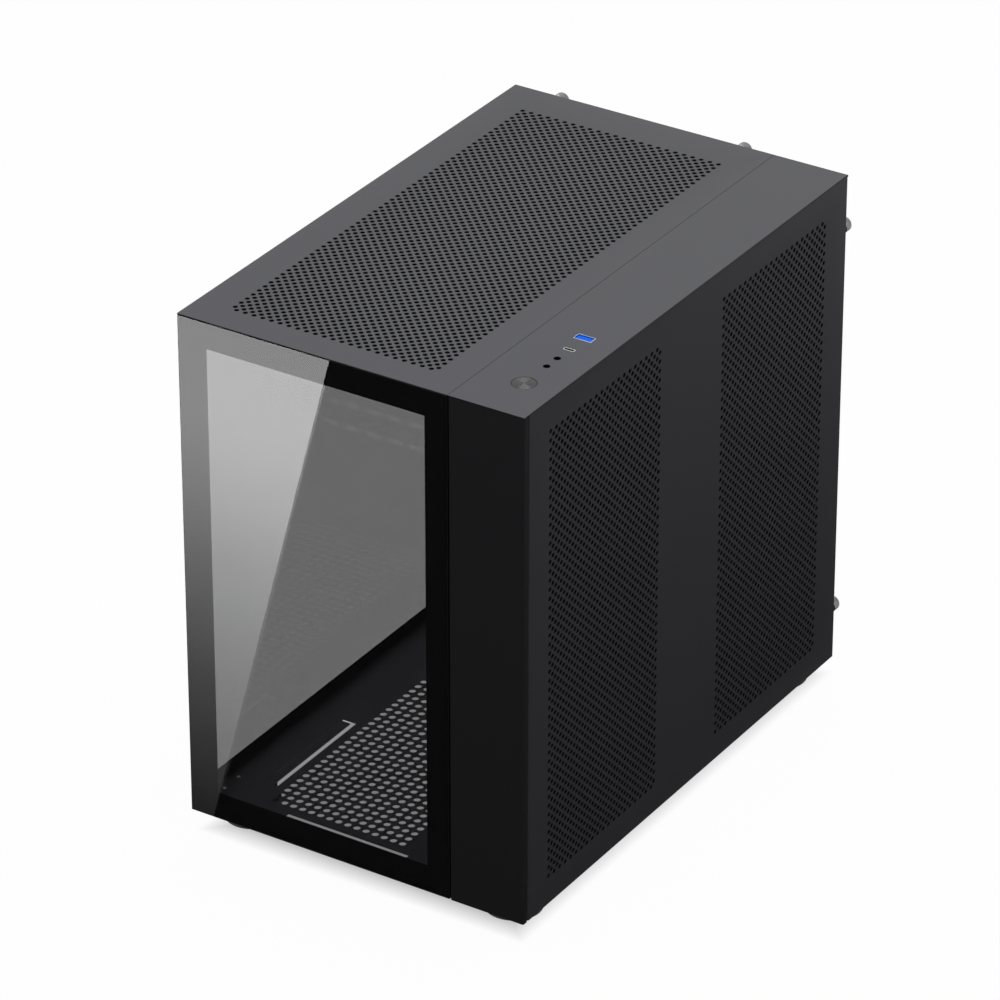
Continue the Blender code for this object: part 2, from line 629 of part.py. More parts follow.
def base_pan():
    pan = open_box("base_pan", (FRAME_LEFT, FRAME_RIGHT), (FRAME_FRONT, FRAME_REAR),
                   (0, FLOOR_HEIGHT), (0, 0, -1), STEEL)
    through = (FLOOR_HEIGHT - SHEET - CUT_OVER, FLOOR_HEIGHT + CUT_OVER)
    holes = Shapes("floor_openings")
    left_edge = LEFT_FLAP_X + FLAP_WIDTH
    left_end = LEFT_FLAP_Y + FLAP_LENGTH
    front_edge = FRONT_FLAP_Y + FLAP_WIDTH
    front_end = FRONT_FLAP_X + FLAP_LENGTH
    inset = FLOOR_HOLE_RADIUS / 2
    field_x = (left_edge + FLOOR_MARGIN_LEFT + inset, TRAY_X - FLOOR_MARGIN_RIGHT - inset)
    field_y = (front_edge + FLOOR_MARGIN_FRONT + inset, FRAME_REAR - FLOOR_MARGIN_REAR - inset)
    for x in spread(field_x[0], field_x[1] - field_x[0], FLOOR_HOLE_PITCH):
        for y in spread(field_y[0], field_y[1] - field_y[0], FLOOR_HOLE_PITCH):
            holes.prism((x, y, 0), FLOOR_HOLE_RADIUS, HOLE_SIDES, 2, through)
    holes.outline([(left_edge - FLAP_GAP, LEFT_FLAP_Y), (left_edge, LEFT_FLAP_Y), (left_edge, left_end),
                   (LEFT_FLAP_X, left_end), (LEFT_FLAP_X, left_end - FLAP_END_GAP),
                   (left_edge - FLAP_GAP, left_end - FLAP_END_GAP)], 2, through)
    holes.outline([(FRONT_FLAP_X, FRONT_FLAP_Y), (FRONT_FLAP_X + FLAP_END_GAP, FRONT_FLAP_Y),
                   (FRONT_FLAP_X + FLAP_END_GAP, front_edge - FLAP_GAP),
                   (front_end, front_edge - FLAP_GAP), (front_end, front_edge),
                   (FRONT_FLAP_X, front_edge)], 2, through)
    cut_hook_slots(holes, (FRAME_RIGHT - SHEET, FRAME_RIGHT), FLOOR_HEIGHT / 2)
    cut_hook_slots(holes, (FRAME_LEFT, FRAME_LEFT + SHEET), FLOOR_HEIGHT / 2)
    for x, z in stud_places()[:1]:
        holes.prism((x, 0, z), STUD_RADIUS + SEAT, SMALL_HOLE_SIDES, 1,
                    (FRAME_FRONT - CUT_OVER, FRAME_FRONT + SHEET + CUT_OVER))
    holes.apply(pan)
    heads = Shapes("floor_screws")
    for y in (FLOOR_SCREW_FRONT_Y, FLOOR_SCREW_REAR_Y):
        heads.prism((FLOOR_SCREW_X, y, 0), FLOOR_SCREW_RADIUS, SMALL_HOLE_SIDES, 2,
                    (FLOOR_HEIGHT - SHEET / 2, FLOOR_HEIGHT + FLOOR_SCREW_HEAD))
    heads.apply(pan, "UNION")


def cut_hook_slots(shapes, wall, z):
    """Slots in an upright wall for the hooks of a sliding side panel."""
    half = HOOK_THICK / 2 + HOOK_CLEARANCE
    for y in (HOOK_FRONT_Y, HOOK_REAR_Y):
        shapes.box((wall[0] - CUT_OVER, wall[1] + CUT_OVER),
                   (y - HOOK_CLEARANCE, y + HOOK_NECK + PANEL_TRAVEL + HOOK_CLEARANCE),
                   (z - half, z + half))


def add_side_hooks(shapes, sheet_middle, wall, inward, z):
    """Hooks of a side panel: a neck through the frame wall and a toe to the front."""
    low, high = z - HOOK_THICK / 2, z + HOOK_THICK / 2
    behind = wall + inward * HOOK_CLEARANCE
    tip = wall + inward * (HOOK_CLEARANCE + HOOK_REACH)
    for y in (HOOK_FRONT_Y, HOOK_REAR_Y):
        shapes.outline([(sheet_middle, y), (sheet_middle, y + HOOK_NECK), (tip, y + HOOK_NECK),
                        (tip, y - HOOK_TOE), (behind, y - HOOK_TOE), (behind, y)], 2, (low, high))


def stud_places():
    """Studs of the front glass: two at its free corners and two in the pillar."""
    free_x = FRAME_LEFT + FREE_STUD_INSET
    pillar_x = (PILLAR_LEFT + GLASS_WIDTH - GLASS_EDGE) / 2
    return [(free_x, FLOOR_HEIGHT / 2), (free_x, (FRAME_BASE + FRAME_TOP) / 2),
            (pillar_x, PANEL_SCREW_LOWER), (pillar_x, PANEL_SCREW_UPPER)]


# Rear wall: a folded sheet with every opening of the back

def rear_wall():
    wall = folded("rear_wall", [(FRAME_LEFT, WALL_REAR - WALL_RETURN), (FRAME_LEFT, WALL_REAR),
                                (FRAME_RIGHT, WALL_REAR), (FRAME_RIGHT, WALL_REAR - WALL_RETURN)],
                  2, (0, FRAME_TOP), STEEL)
    through = (WALL_FRONT - CUT_OVER, WALL_REAR + CUT_OVER)
    notch_y = (WALL_REAR - WALL_RETURN - NOTCH_RELIEF, WALL_FRONT - SEAT / 2)
    cuts = Shapes("rear_openings")
    for x in ((FRAME_LEFT - CUT_OVER, FRAME_LEFT + 2 * CUT_OVER),
              (FRAME_RIGHT - 2 * CUT_OVER, FRAME_RIGHT + CUT_OVER)):
        cuts.box(x, notch_y, (-CUT_OVER, FLOOR_HEIGHT + SEAT))
        cuts.box(x, notch_y, (FRAME_BASE - SEAT, FRAME_TOP + CUT_OVER))
    cuts.box((PORT_OPENING_LEFT, PORT_OPENING_RIGHT), through, (PORT_OPENING_BASE, PORT_OPENING_TOP))
    for index in range(SLOT_COUNT):
        z = FIRST_SLOT_Z - index * SLOT_PITCH
        cuts.box((SLOT_LEFT, SLOT_RIGHT), through, (z - SLOT_OPENING_HEIGHT / 2, z + SLOT_OPENING_HEIGHT / 2))
    cuts.box(SUPPLY_OPENING_X, through, SUPPLY_OPENING_Z)
    first_vent = SUPPLY_TOP + VENT_RISE
    vent_count = int((FRAME_BASE - VENT_DROP - first_vent) / VENT_PITCH) + 1
    for index in range(vent_count):
        z = first_vent + index * VENT_PITCH
        cuts.box((SUPPLY_LEFT + VENT_MARGIN, FRAME_RIGHT - VENT_MARGIN), through, (z, z + VENT_HEIGHT))
    row_step = GRILLE_PITCH * math.sqrt(3) / 2
    rows = int(REAR_FAN_RADIUS / row_step)
    for row in range(-rows, rows + 1):
        for column in range(-rows - 1, rows + 2):
            x = (column + (row % 2) / 2) * GRILLE_PITCH
            z = row * row_step
            if math.hypot(x, z) < REAR_FAN_RADIUS - GRILLE_RADIUS:
                cuts.prism((REAR_FAN_X + x, 0, REAR_FAN_Z + z), GRILLE_RADIUS, GRILLE_SIDES, 1,
                           through, math.pi / 2)
    screw_reach = REAR_FAN_RADIUS - REAR_FAN_SCREW_BACK
    for side in (-1, 1):
        for level in (-1, 1):
            place = (REAR_FAN_X + side * screw_reach, 0, REAR_FAN_Z + level * screw_reach)
            cuts.prism(place, SMALL_HOLE_RADIUS, SMALL_HOLE_SIDES, 1, through)
    for x, z in cover_screws() + panel_screws() + door_screws():
        cuts.prism((x, 0, z), THUMB_HOLE_RADIUS, SMALL_HOLE_SIDES, 1, through)
    cuts.apply(wall)


def cover_screws():
    z = BODY_HEIGHT - COVER_SCREW_DROP
    return [(COVER_SCREW_LEFT, z), (COVER_RIGHT - COVER_SCREW_INSET, z)]


def panel_screws():
    x = BODY_WIDTH - PANEL_SCREW_INSET
    return [(x, PANEL_SCREW_UPPER), (x, PANEL_SCREW_LOWER)]


def door_screws():
    return [(DOOR_SCREW_INSET, PANEL_SCREW_UPPER), (DOOR_SCREW_INSET, PANEL_SCREW_LOWER)]


# Top frame: a hollow section that carries the covers and the top fans

def top_frame():
    x, y, z = (FRAME_LEFT, FRAME_RIGHT), (FRAME_FRONT, FRAME_REAR), (FRAME_BASE, FRAME_TOP)
    frame = block("top_frame", x, y, z, STEEL)
    hollow = Shapes("top_frame_hollow")
    hollow.box((x[0] + SHEET, x[1] - SHEET), (y[0] + SHEET, y[1] - SHEET), (z[0] + SHEET, z[1] - SHEET))
    upper = (FRAME_TOP - SHEET - CUT_OVER, FRAME_TOP + CUT_OVER)
    lower = (FRAME_BASE - CUT_OVER, FRAME_BASE + SHEET + CUT_OVER)
    back = FRAME_REAR - LIP_WIDTH
    cuts = Shapes("top_frame_openings")
    cuts.box((FRAME_LEFT + LIP_WIDTH, DIVIDER_LEFT), (FRAME_FRONT + LIP_WIDTH, back), upper)
    front = MODULE_FRONT_Y - MODULE_FRONT_CLEARANCE
    cuts.box((DIVIDER_RIGHT, FRAME_RIGHT - SHEET - SEAT), (front, back), upper)
    cuts.box((TRAY_BACK + CHAMBER_LEDGE, FRAME_RIGHT - CHAMBER_EDGE), (front, back), lower)
    fan_left, fan_right = FRAME_LEFT + FAN_LEDGE_LEFT, TRAY_X - FAN_LEDGE_RIGHT
    fan_front, fan_rear = MODULE_FRONT_Y + FAN_LEDGE_END, back - FAN_LEDGE_END
    cuts.box((fan_left, fan_right), (fan_front, fan_rear), lower)
    fan_count = int((fan_rear - fan_front) / FAN_SLOT_PITCH)
    for index in range(fan_count):
        centre_y = BODY_DEPTH / 2 + (index - (fan_count - 1) / 2) * FAN_SLOT_PITCH
        for slot_x in (fan_left - FAN_SLOT_INSET, fan_right + FAN_SLOT_INSET):
            cuts.box((slot_x - FAN_SLOT_WIDTH / 2, slot_x + FAN_SLOT_WIDTH / 2),
                     (centre_y - FAN_SLOT_LENGTH / 2, centre_y + FAN_SLOT_LENGTH / 2), lower)
    cut_hook_slots(cuts, (FRAME_RIGHT - SHEET, FRAME_RIGHT), (FRAME_BASE + FRAME_TOP) / 2)
    cut_hook_slots(cuts, (FRAME_LEFT, FRAME_LEFT + SHEET), (FRAME_BASE + FRAME_TOP) / 2)
    half = HOOK_THICK / 2 + HOOK_CLEARANCE
    for hook_x in cover_hook_lines():
        for hook_y in (HOOK_FRONT_Y, HOOK_REAR_Y):
            cuts.box((hook_x - half, hook_x + half),
                     (hook_y - HOOK_CLEARANCE, hook_y + HOOK_NECK + PANEL_TRAVEL + HOOK_CLEARANCE), upper)
    stud_x, stud_z = stud_places()[1]
    cuts.prism((stud_x, 0, stud_z), STUD_RADIUS + SEAT, SMALL_HOLE_SIDES, 1,
               (FRAME_FRONT - CUT_OVER, FRAME_FRONT + SHEET + CUT_OVER))
    for screw_x, screw_z in cover_screws():
        cuts.prism((screw_x, 0, screw_z), THUMB_HOLE_RADIUS, SMALL_HOLE_SIDES, 1,
                   (FRAME_REAR - SHEET - CUT_OVER, FRAME_REAR + CUT_OVER))
    cuts.apply(frame)
    hollow.apply(frame)


def cover_hook_lines():
    return (FRAME_LEFT + SHEET + COVER_HOOK_INSET, (DIVIDER_LEFT + TRIM_LEFT) / 2)


# Front pillar: a channel behind the dark strip

def front_pillar():
    pillar = folded("front_pillar", [(PILLAR_LEFT, FRAME_FRONT + PILLAR_RETURN), (PILLAR_LEFT, FRAME_FRONT),
                                     (PILLAR_RIGHT, FRAME_FRONT),
                                     (PILLAR_RIGHT, FRAME_FRONT + PILLAR_RETURN)],
                    2, (TRAY_BASE, TRAY_TOP), STEEL)
    through = (FRAME_FRONT - CUT_OVER, FRAME_FRONT + SHEET + CUT_OVER)
    cuts = Shapes("pillar_openings")
    for x, z in stud_places()[2:] + trim_pegs():
        cuts.prism((x, 0, z), STUD_RADIUS + SEAT, SMALL_HOLE_SIDES, 1, through)
    middle = (TRIM_LEFT + PILLAR_RIGHT) / 2
    low, high = PANEL_SCREW_LOWER + PILLAR_SLOT_MARGIN, PANEL_SCREW_UPPER - PILLAR_SLOT_MARGIN
    for z in spread(low, high - low, PILLAR_SLOT_PITCH):
        cuts.outline(track((middle, z), PILLAR_SLOT_WIDTH, PILLAR_SLOT_LENGTH), 1, through)
    cuts.apply(pillar)


def trim_pegs():
    x = (TRIM_LEFT + PILLAR_RIGHT) / 2
    return [(x, PANEL_SCREW_LOWER - PEG_OFFSET), (x, PANEL_SCREW_UPPER + PEG_OFFSET)]


# Motherboard tray: the wall between the chambers, with standoffs and cable openings

def cable_openings():
    """Centres of the cable openings in front of the board and above the drive cage."""
    first = CABLE_OPENING_BASE + CABLE_OPENING_LENGTH / 2
    count = int((TRAY_TOP + CABLE_OPENING_GAP - CABLE_OPENING_BASE) / CABLE_OPENING_PITCH)
    return [(CABLE_OPENING_Y, first + index * CABLE_OPENING_PITCH) for index in range(count)]


def motherboard_tray():
    tray = folded("motherboard_tray", [(PILLAR_LEFT + SHEET, TRAY_FRONT), (TRAY_X, TRAY_FRONT),
                                       (TRAY_X, FRAME_REAR)],
                  2, (TRAY_BASE, TRAY_TOP), STEEL, offset=1)
    through = (TRAY_X - CUT_OVER, TRAY_BACK + CUT_OVER)
    cuts = Shapes("tray_openings")
    fan_count = int((TRAY_TOP - TRAY_BASE) / SIDE_FAN_PITCH)
    screw_reach = SIDE_FAN_RADIUS - SIDE_FAN_SCREW_BACK
    for index in range(fan_count):
        z = (TRAY_BASE + TRAY_TOP) / 2 + (index - (fan_count - 1) / 2) * SIDE_FAN_PITCH
        cuts.prism((0, SIDE_FAN_Y, z), SIDE_FAN_RADIUS, SIDE_FAN_SIDES, 0, through)
        for side in (-1, 1):
            for level in (-1, 1):
                place = (0, SIDE_FAN_Y + side * screw_reach, z + level * screw_reach)
                cuts.prism(place, SMALL_HOLE_RADIUS, SMALL_HOLE_SIDES, 0, through)
    for y, z in cable_openings():
        cuts.outline(track((y, z), CABLE_OPENING_WIDTH, CABLE_OPENING_LENGTH), 0, through)
    cooler_y, cooler_z = BOARD_REAR - COOLER_BACK, BOARD_TOP - COOLER_DROP
    half = COOLER_OPENING / 2
    cuts.box(through, (cooler_y - half, cooler_y + half), (cooler_z - half, cooler_z + half))
    lower_z = BOARD_BASE - LOWER_SLOT_DROP - LOWER_SLOT_HEIGHT / 2
    upper_z = BOARD_TOP + UPPER_SLOT_RISE + UPPER_SLOT_HEIGHT / 2
    for y in spread(BOARD_FRONT + BOARD_SLOT_INSET, BOARD_DEPTH - 2 * BOARD_SLOT_INSET, BOARD_SLOT_PITCH):
        if lower_z - LOWER_SLOT_HEIGHT > TRAY_BASE:
            cuts.outline(track((y, lower_z), LOWER_SLOT_LENGTH, LOWER_SLOT_HEIGHT), 0, through)
        cuts.outline(track((y, upper_z), UPPER_SLOT_LENGTH, UPPER_SLOT_HEIGHT), 0, through)
    cuts.apply(tray)
    posts = Shapes("standoffs")
    for back in STANDOFF_SPACING_Y:
        for drop in STANDOFF_SPACING_Z:
            place = (0, BOARD_REAR - STANDOFF_INSET - back, BOARD_TOP - STANDOFF_INSET - drop)
            beside_cooler = max(abs(place[1] - cooler_y), abs(place[2] - cooler_z)) > half
            on_board = (place[1] > BOARD_FRONT + STANDOFF_RADIUS
                        and place[2] > max(BOARD_BASE, TRAY_BASE) + STANDOFF_RADIUS)
            if beside_cooler and on_board:
                posts.prism(place, STANDOFF_RADIUS, STANDOFF_SIDES, 0,
                            (TRAY_X - STANDOFF_HEIGHT, TRAY_X + SHEET / 2))
    posts.apply(tray, "UNION")


def grommets():
    """Rubber edgings of the cable openings, with a lip on the board's side."""
    for index, (y, z) in enumerate(cable_openings()):
        outer_length, outer_width = CABLE_OPENING_LENGTH - 2 * SEAT, CABLE_OPENING_WIDTH - 2 * SEAT
        front = TRAY_X - SEAT - GROMMET_LIP_THICK
        ring = bpy.data.objects.new(f"cable_grommet_{index + 1}", bpy.data.meshes.new("grommet"))
        body = Shapes(f"grommet_body_{index + 1}")
        body.outline(track((y, z), outer_width, outer_length), 0, (front, front + GROMMET_DEPTH))
        bm = body.bm
        ring.data = mesh_from(ring.name, bm)
        finish(ring, RUBBER)
        lip = Shapes(f"grommet_lip_{index + 1}")
        lip.outline(track((y, z), outer_width + 2 * GROMMET_LIP, outer_length + 2 * GROMMET_LIP), 0,
                    (front, front + GROMMET_LIP_THICK))
        lip.apply(ring, "UNION")
        bore = Shapes(f"grommet_bore_{index + 1}")
        bore.outline(track((y, z), outer_width - 2 * GROMMET_WALL, outer_length - 2 * GROMMET_WALL), 0,
                     (front - CUT_OVER, front + GROMMET_DEPTH + CUT_OVER))
        bore.apply(ring)


# Expansion slot covers and the bar that clamps their ends

def slot_covers():
    rear = WALL_FRONT - SEAT
    left, right = SLOT_LEFT - RETAINER_WIDTH, SLOT_RIGHT + SLOT_COVER_LAP
    for index in range(SLOT_COUNT):
        z = FIRST_SLOT_Z - index * SLOT_PITCH
        cover = block(f"slot_cover_{index + 1}", (left, right), (rear - SLOT_COVER_THICK, rear),
                      (z - SLOT_COVER_HEIGHT / 2, z + SLOT_COVER_HEIGHT / 2), STEEL)
        vents = Shapes(f"slot_vents_{index + 1}")
        for x in spread(SLOT_LEFT + SLOT_VENT_INSET, SLOT_OPENING_LENGTH - 2 * SLOT_VENT_INSET,
                        SLOT_VENT_PITCH):
            vents.box((x - SLOT_VENT_LENGTH / 2, x + SLOT_VENT_LENGTH / 2),
                      (rear - SLOT_COVER_THICK - CUT_OVER, rear + CUT_OVER),
                      (z - SLOT_VENT_HEIGHT / 2, z + SLOT_VENT_HEIGHT / 2))
        vents.apply(cover)
    rear -= SLOT_COVER_THICK + SEAT
    top = FIRST_SLOT_Z + SLOT_COVER_HEIGHT / 2 + RETAINER_OVERRUN
    foot = FIRST_SLOT_Z - (SLOT_COUNT - 1) * SLOT_PITCH - SLOT_COVER_HEIGHT / 2 - RETAINER_OVERRUN
    right = SLOT_LEFT - RETAINER_GAP
    bar = folded("slot_retainer", [(left, rear - RETAINER_DEPTH), (left, rear), (right, rear),
                                   (right, rear - RETAINER_DEPTH)],
                 2, (foot, top), STEEL)
    grips = Shapes("retainer_screws")
    head = (rear - SHEET - RETAINER_SCREW_HEAD, rear - SHEET / 2)
    for z in (foot + RETAINER_SCREW_INSET, top - RETAINER_SCREW_INSET):
        grips.prism(((left + right) / 2, 0, z), RETAINER_SCREW_RADIUS, SCREW_HEAD_SIDES, 1, head)
    grips.apply(bar, "UNION")


# Front glass with its steel rim, and the dark strip beside it

def ring_sheet(name, path, span, window, look, parent=None):
    """A folded sheet with one large window, glued behind the glass."""
    ring = folded(name, path, 2, span, look, parent=parent)
    cut = Shapes(name + "_window")
    cut.box(*window)
    cut.apply(ring)
    return ring


def front_glass():
    block("front_glass", (0, COVER_RIGHT), (0, GLASS), (0, GLASS_TOP), TINTED)
    left, right = FRAME_LEFT + SEAT, GLASS_WIDTH - GLASS_EDGE
    low, high = GLASS_EDGE / 2, GLASS_TOP - GLASS_EDGE / 2
    y = GLASS + SEAT
    ring = ring_sheet("front_glass_rim", [(right, y), (left, y)], (low, high),
                      ((left + GLASS_RAIL, PILLAR_LEFT - RIM_LAP), (y - CUT_OVER, y + SHEET + CUT_OVER),
                       (low + GLASS_RAIL, high - GLASS_RAIL)), STEEL)
    studs = Shapes("front_glass_studs")
    for x, z in stud_places():
        studs.prism((x, 0, z), STUD_RADIUS, SMALL_HOLE_SIDES, 1, (y + SHEET / 2, y + STUD_LENGTH))
    studs.apply(ring, "UNION")


def front_trim():
    strip = folded("front_trim", [(TRIM_LEFT, TRIM_DEPTH), (TRIM_LEFT, 0), (BODY_WIDTH, 0),
                                  (BODY_WIDTH, TRIM_DEPTH)], 2, (0, GLASS_TOP), STEEL, TRIM_WALL)
    pegs = Shapes("trim_pegs")
    for x, z in trim_pegs():
        pegs.prism((x, 0, z), STUD_RADIUS, SMALL_HOLE_SIDES, 1,
                   (TRIM_WALL / 2, FRAME_FRONT + SHEET + PEG_PROUD))
    pegs.apply(strip, "UNION")


# Left glass door with its rim, which slides to the rear

def left_door():
    block("left_glass", (0, GLASS), (GLASS + SEAT, BODY_DEPTH), (0, GLASS_TOP), TINTED, DOOR_SLIDE)
    x = GLASS + SEAT
    low, high = GLASS_EDGE / 2, GLASS_TOP - GLASS_EDGE / 2
    front = FRAME_FRONT + SEAT
    rim = ring_sheet("left_glass_rim", [(x, front), (x, BODY_DEPTH), (x + DOOR_FLANGE, BODY_DEPTH)],
                     (low, high),
                     ((x - CUT_OVER, x + SHEET + CUT_OVER),
                      (front + GLASS_RAIL, BODY_DEPTH - SHEET - GLASS_RAIL),
                      (low + GLASS_RAIL, high - GLASS_RAIL)), STEEL, DOOR_SLIDE)
    hooks = Shapes("left_door_hooks")
    for z in (FLOOR_HEIGHT / 2, (FRAME_BASE + FRAME_TOP) / 2):
        add_side_hooks(hooks, x + SHEET / 2, FRAME_LEFT + SHEET, 1, z)
    hooks.apply(rim, "UNION")
    holes = Shapes("left_door_screw_holes")
    for screw_x, screw_z in door_screws():
        holes.prism((screw_x, 0, screw_z), THUMB_HOLE_RADIUS, SMALL_HOLE_SIDES, 1,
                    (BODY_DEPTH - SHEET - CUT_OVER / 2, BODY_DEPTH + CUT_OVER))
    holes.apply(rim)


# Right panel with its two perforated fields, which slides to the rear

def right_panel():
    inner = BODY_WIDTH - PANEL_FRONT_FLANGE
    panel = folded("right_panel", [(inner, PANEL_FRONT), (BODY_WIDTH, PANEL_FRONT),
                                   (BODY_WIDTH, BODY_DEPTH), (BODY_WIDTH - PANEL_REAR_FLANGE, BODY_DEPTH)],
                   2, (0, GLASS_TOP), STEEL, parent=PANEL_SLIDE)
    cuts = Shapes("right_panel_openings")
    through = (BODY_WIDTH - SHEET - CUT_OVER, BODY_WIDTH + CUT_OVER)
    rear_end = BODY_DEPTH - SIDE_MARGIN_REAR
    depth = (rear_end - SIDE_MARGIN_FRONT - SIDE_FIELD_GAP) / 2
    height = BODY_HEIGHT - SIDE_MARGIN_LOW - SIDE_MARGIN_HIGH
    for start in (SIDE_MARGIN_FRONT, rear_end - depth):
        for y, z in staggered(SIDE_HALF_PITCH, HOLE_RADIUS, start, depth, SIDE_MARGIN_LOW, height):
            cuts.prism((0, y, z), HOLE_RADIUS, HOLE_SIDES, 0, through)
    notch_x = (inner - CUT_OVER, BODY_WIDTH - SHEET - SEAT / 2)
    notch_y = (PANEL_FRONT - CUT_OVER, PANEL_FRONT + SHEET + CUT_OVER)
    cuts.box(notch_x, notch_y, (-CUT_OVER, FLOOR_HEIGHT + 2 * SEAT))
    cuts.box(notch_x, notch_y, (FRAME_BASE - 2 * SEAT, BODY_HEIGHT))
    for x, z in panel_screws():
        cuts.prism((x, 0, z), THUMB_HOLE_RADIUS, SMALL_HOLE_SIDES, 1,
                   (BODY_DEPTH - SHEET - CUT_OVER, BODY_DEPTH + CUT_OVER))
    cuts.box((BODY_WIDTH - PANEL_REAR_FLANGE - CUT_OVER, SUPPLY_OPENING_X[1] + FLANGE_CLEARANCE),
             (BODY_DEPTH - SHEET - CUT_OVER, BODY_DEPTH + CUT_OVER),
             (SUPPLY_OPENING_Z[0] - FLANGE_CLEARANCE, SUPPLY_OPENING_Z[1] + FLANGE_CLEARANCE))
    cuts.apply(panel)
    hooks = Shapes("right_panel_hooks")
    for z in (FLOOR_HEIGHT / 2, (FRAME_BASE + FRAME_TOP) / 2):
        add_side_hooks(hooks, BODY_WIDTH - SHEET / 2, FRAME_RIGHT - SHEET, -1, z)
    hooks.apply(panel, "UNION")


# Top covers: the perforated one slides, the plain one carries the ports

def top_cover():
    cover = folded("top_cover", [(0, BODY_HEIGHT), (BODY_DEPTH, BODY_HEIGHT),
                                 (BODY_DEPTH, BODY_HEIGHT - COVER_FLANGE)],
                   0, (0, COVER_RIGHT), STEEL, parent=COVER_SLIDE)
    holes = Shapes("top_cover_openings")
    width = COVER_RIGHT - TOP_MARGIN_LEFT - TOP_MARGIN_RIGHT
    depth = BODY_DEPTH - TOP_MARGIN_FRONT - TOP_MARGIN_REAR
    for x, y in staggered(TOP_HALF_PITCH, TOP_HOLE_RADIUS, TOP_MARGIN_LEFT, width, TOP_MARGIN_FRONT, depth):
        holes.prism((x, y, 0), TOP_HOLE_RADIUS, TOP_HOLE_SIDES, 2,
                    (BODY_HEIGHT - SHEET - CUT_OVER, BODY_HEIGHT + CUT_OVER))
    for x, z in cover_screws():
        holes.prism((x, 0, z), THUMB_HOLE_RADIUS, SMALL_HOLE_SIDES, 1,
                    (BODY_DEPTH - SHEET - CUT_OVER, BODY_DEPTH + CUT_OVER))
    corner = (BODY_DEPTH - SHEET - SEAT, BODY_DEPTH + CUT_OVER)
    holes.box((-CUT_OVER, GLASS + SEAT + DOOR_FLANGE + SEAT), corner,
              (BODY_HEIGHT - COVER_FLANGE - CUT_OVER, GLASS_TOP + SEAT))
    holes.apply(cover)
    hooks = Shapes("top_cover_hooks")
    under = FRAME_TOP - SHEET - HOOK_CLEARANCE
    tip = under - HOOK_REACH
    for x in cover_hook_lines():
        for y in (HOOK_FRONT_Y, HOOK_REAR_Y):
            hooks.outline([(y, BODY_HEIGHT - SHEET / 2), (y + HOOK_NECK, BODY_HEIGHT - SHEET / 2),
                           (y + HOOK_NECK, tip), (y - HOOK_TOE, tip), (y - HOOK_TOE, under), (y, under)],
                          0, (x - HOOK_THICK / 2, x + HOOK_THICK / 2))
    hooks.apply(cover, "UNION")


def port_cover():
    cover = folded("port_cover", [(0, BODY_HEIGHT), (BODY_DEPTH, BODY_HEIGHT),
                                  (BODY_DEPTH, BODY_HEIGHT - COVER_FLANGE)],
                   0, (TRIM_LEFT, BODY_WIDTH), STEEL)
    through = (BODY_HEIGHT - SHEET - CUT_OVER, BODY_HEIGHT + CUT_OVER)
    cuts = Shapes("port_cover_openings")
    cuts.prism((PORT_LINE_X, BUTTON_Y, 0), BUTTON_RADIUS + BUTTON_CLEARANCE, BUTTON_SIDES, 2, through)
    for y in (JACK_FRONT_Y, JACK_REAR_Y):
        cuts.prism((PORT_LINE_X, y, 0), JACK_RADIUS + SEAT, JACK_SIDES, 2, through)
    cuts.outline(track((PORT_LINE_X, USB_C_Y), USB_C_LENGTH + 2 * SEAT, USB_C_WIDTH + 2 * SEAT), 2, through)
    half_x, half_y = USB_A_LENGTH / 2 + SEAT, USB_A_WIDTH / 2 + SEAT
    cuts.box((PORT_LINE_X - half_x, PORT_LINE_X + half_x), (USB_A_Y - half_y, USB_A_Y + half_y), through)
    cuts.box((BODY_WIDTH - PANEL_REAR_FLANGE - SEAT, BODY_WIDTH + CUT_OVER),
             (BODY_DEPTH - SHEET - SEAT, BODY_DEPTH + CUT_OVER),
             (BODY_HEIGHT - COVER_FLANGE - CUT_OVER, GLASS_TOP + SEAT))
    cuts.apply(cover)


# Button and ports, held in one moulding under the plain cover

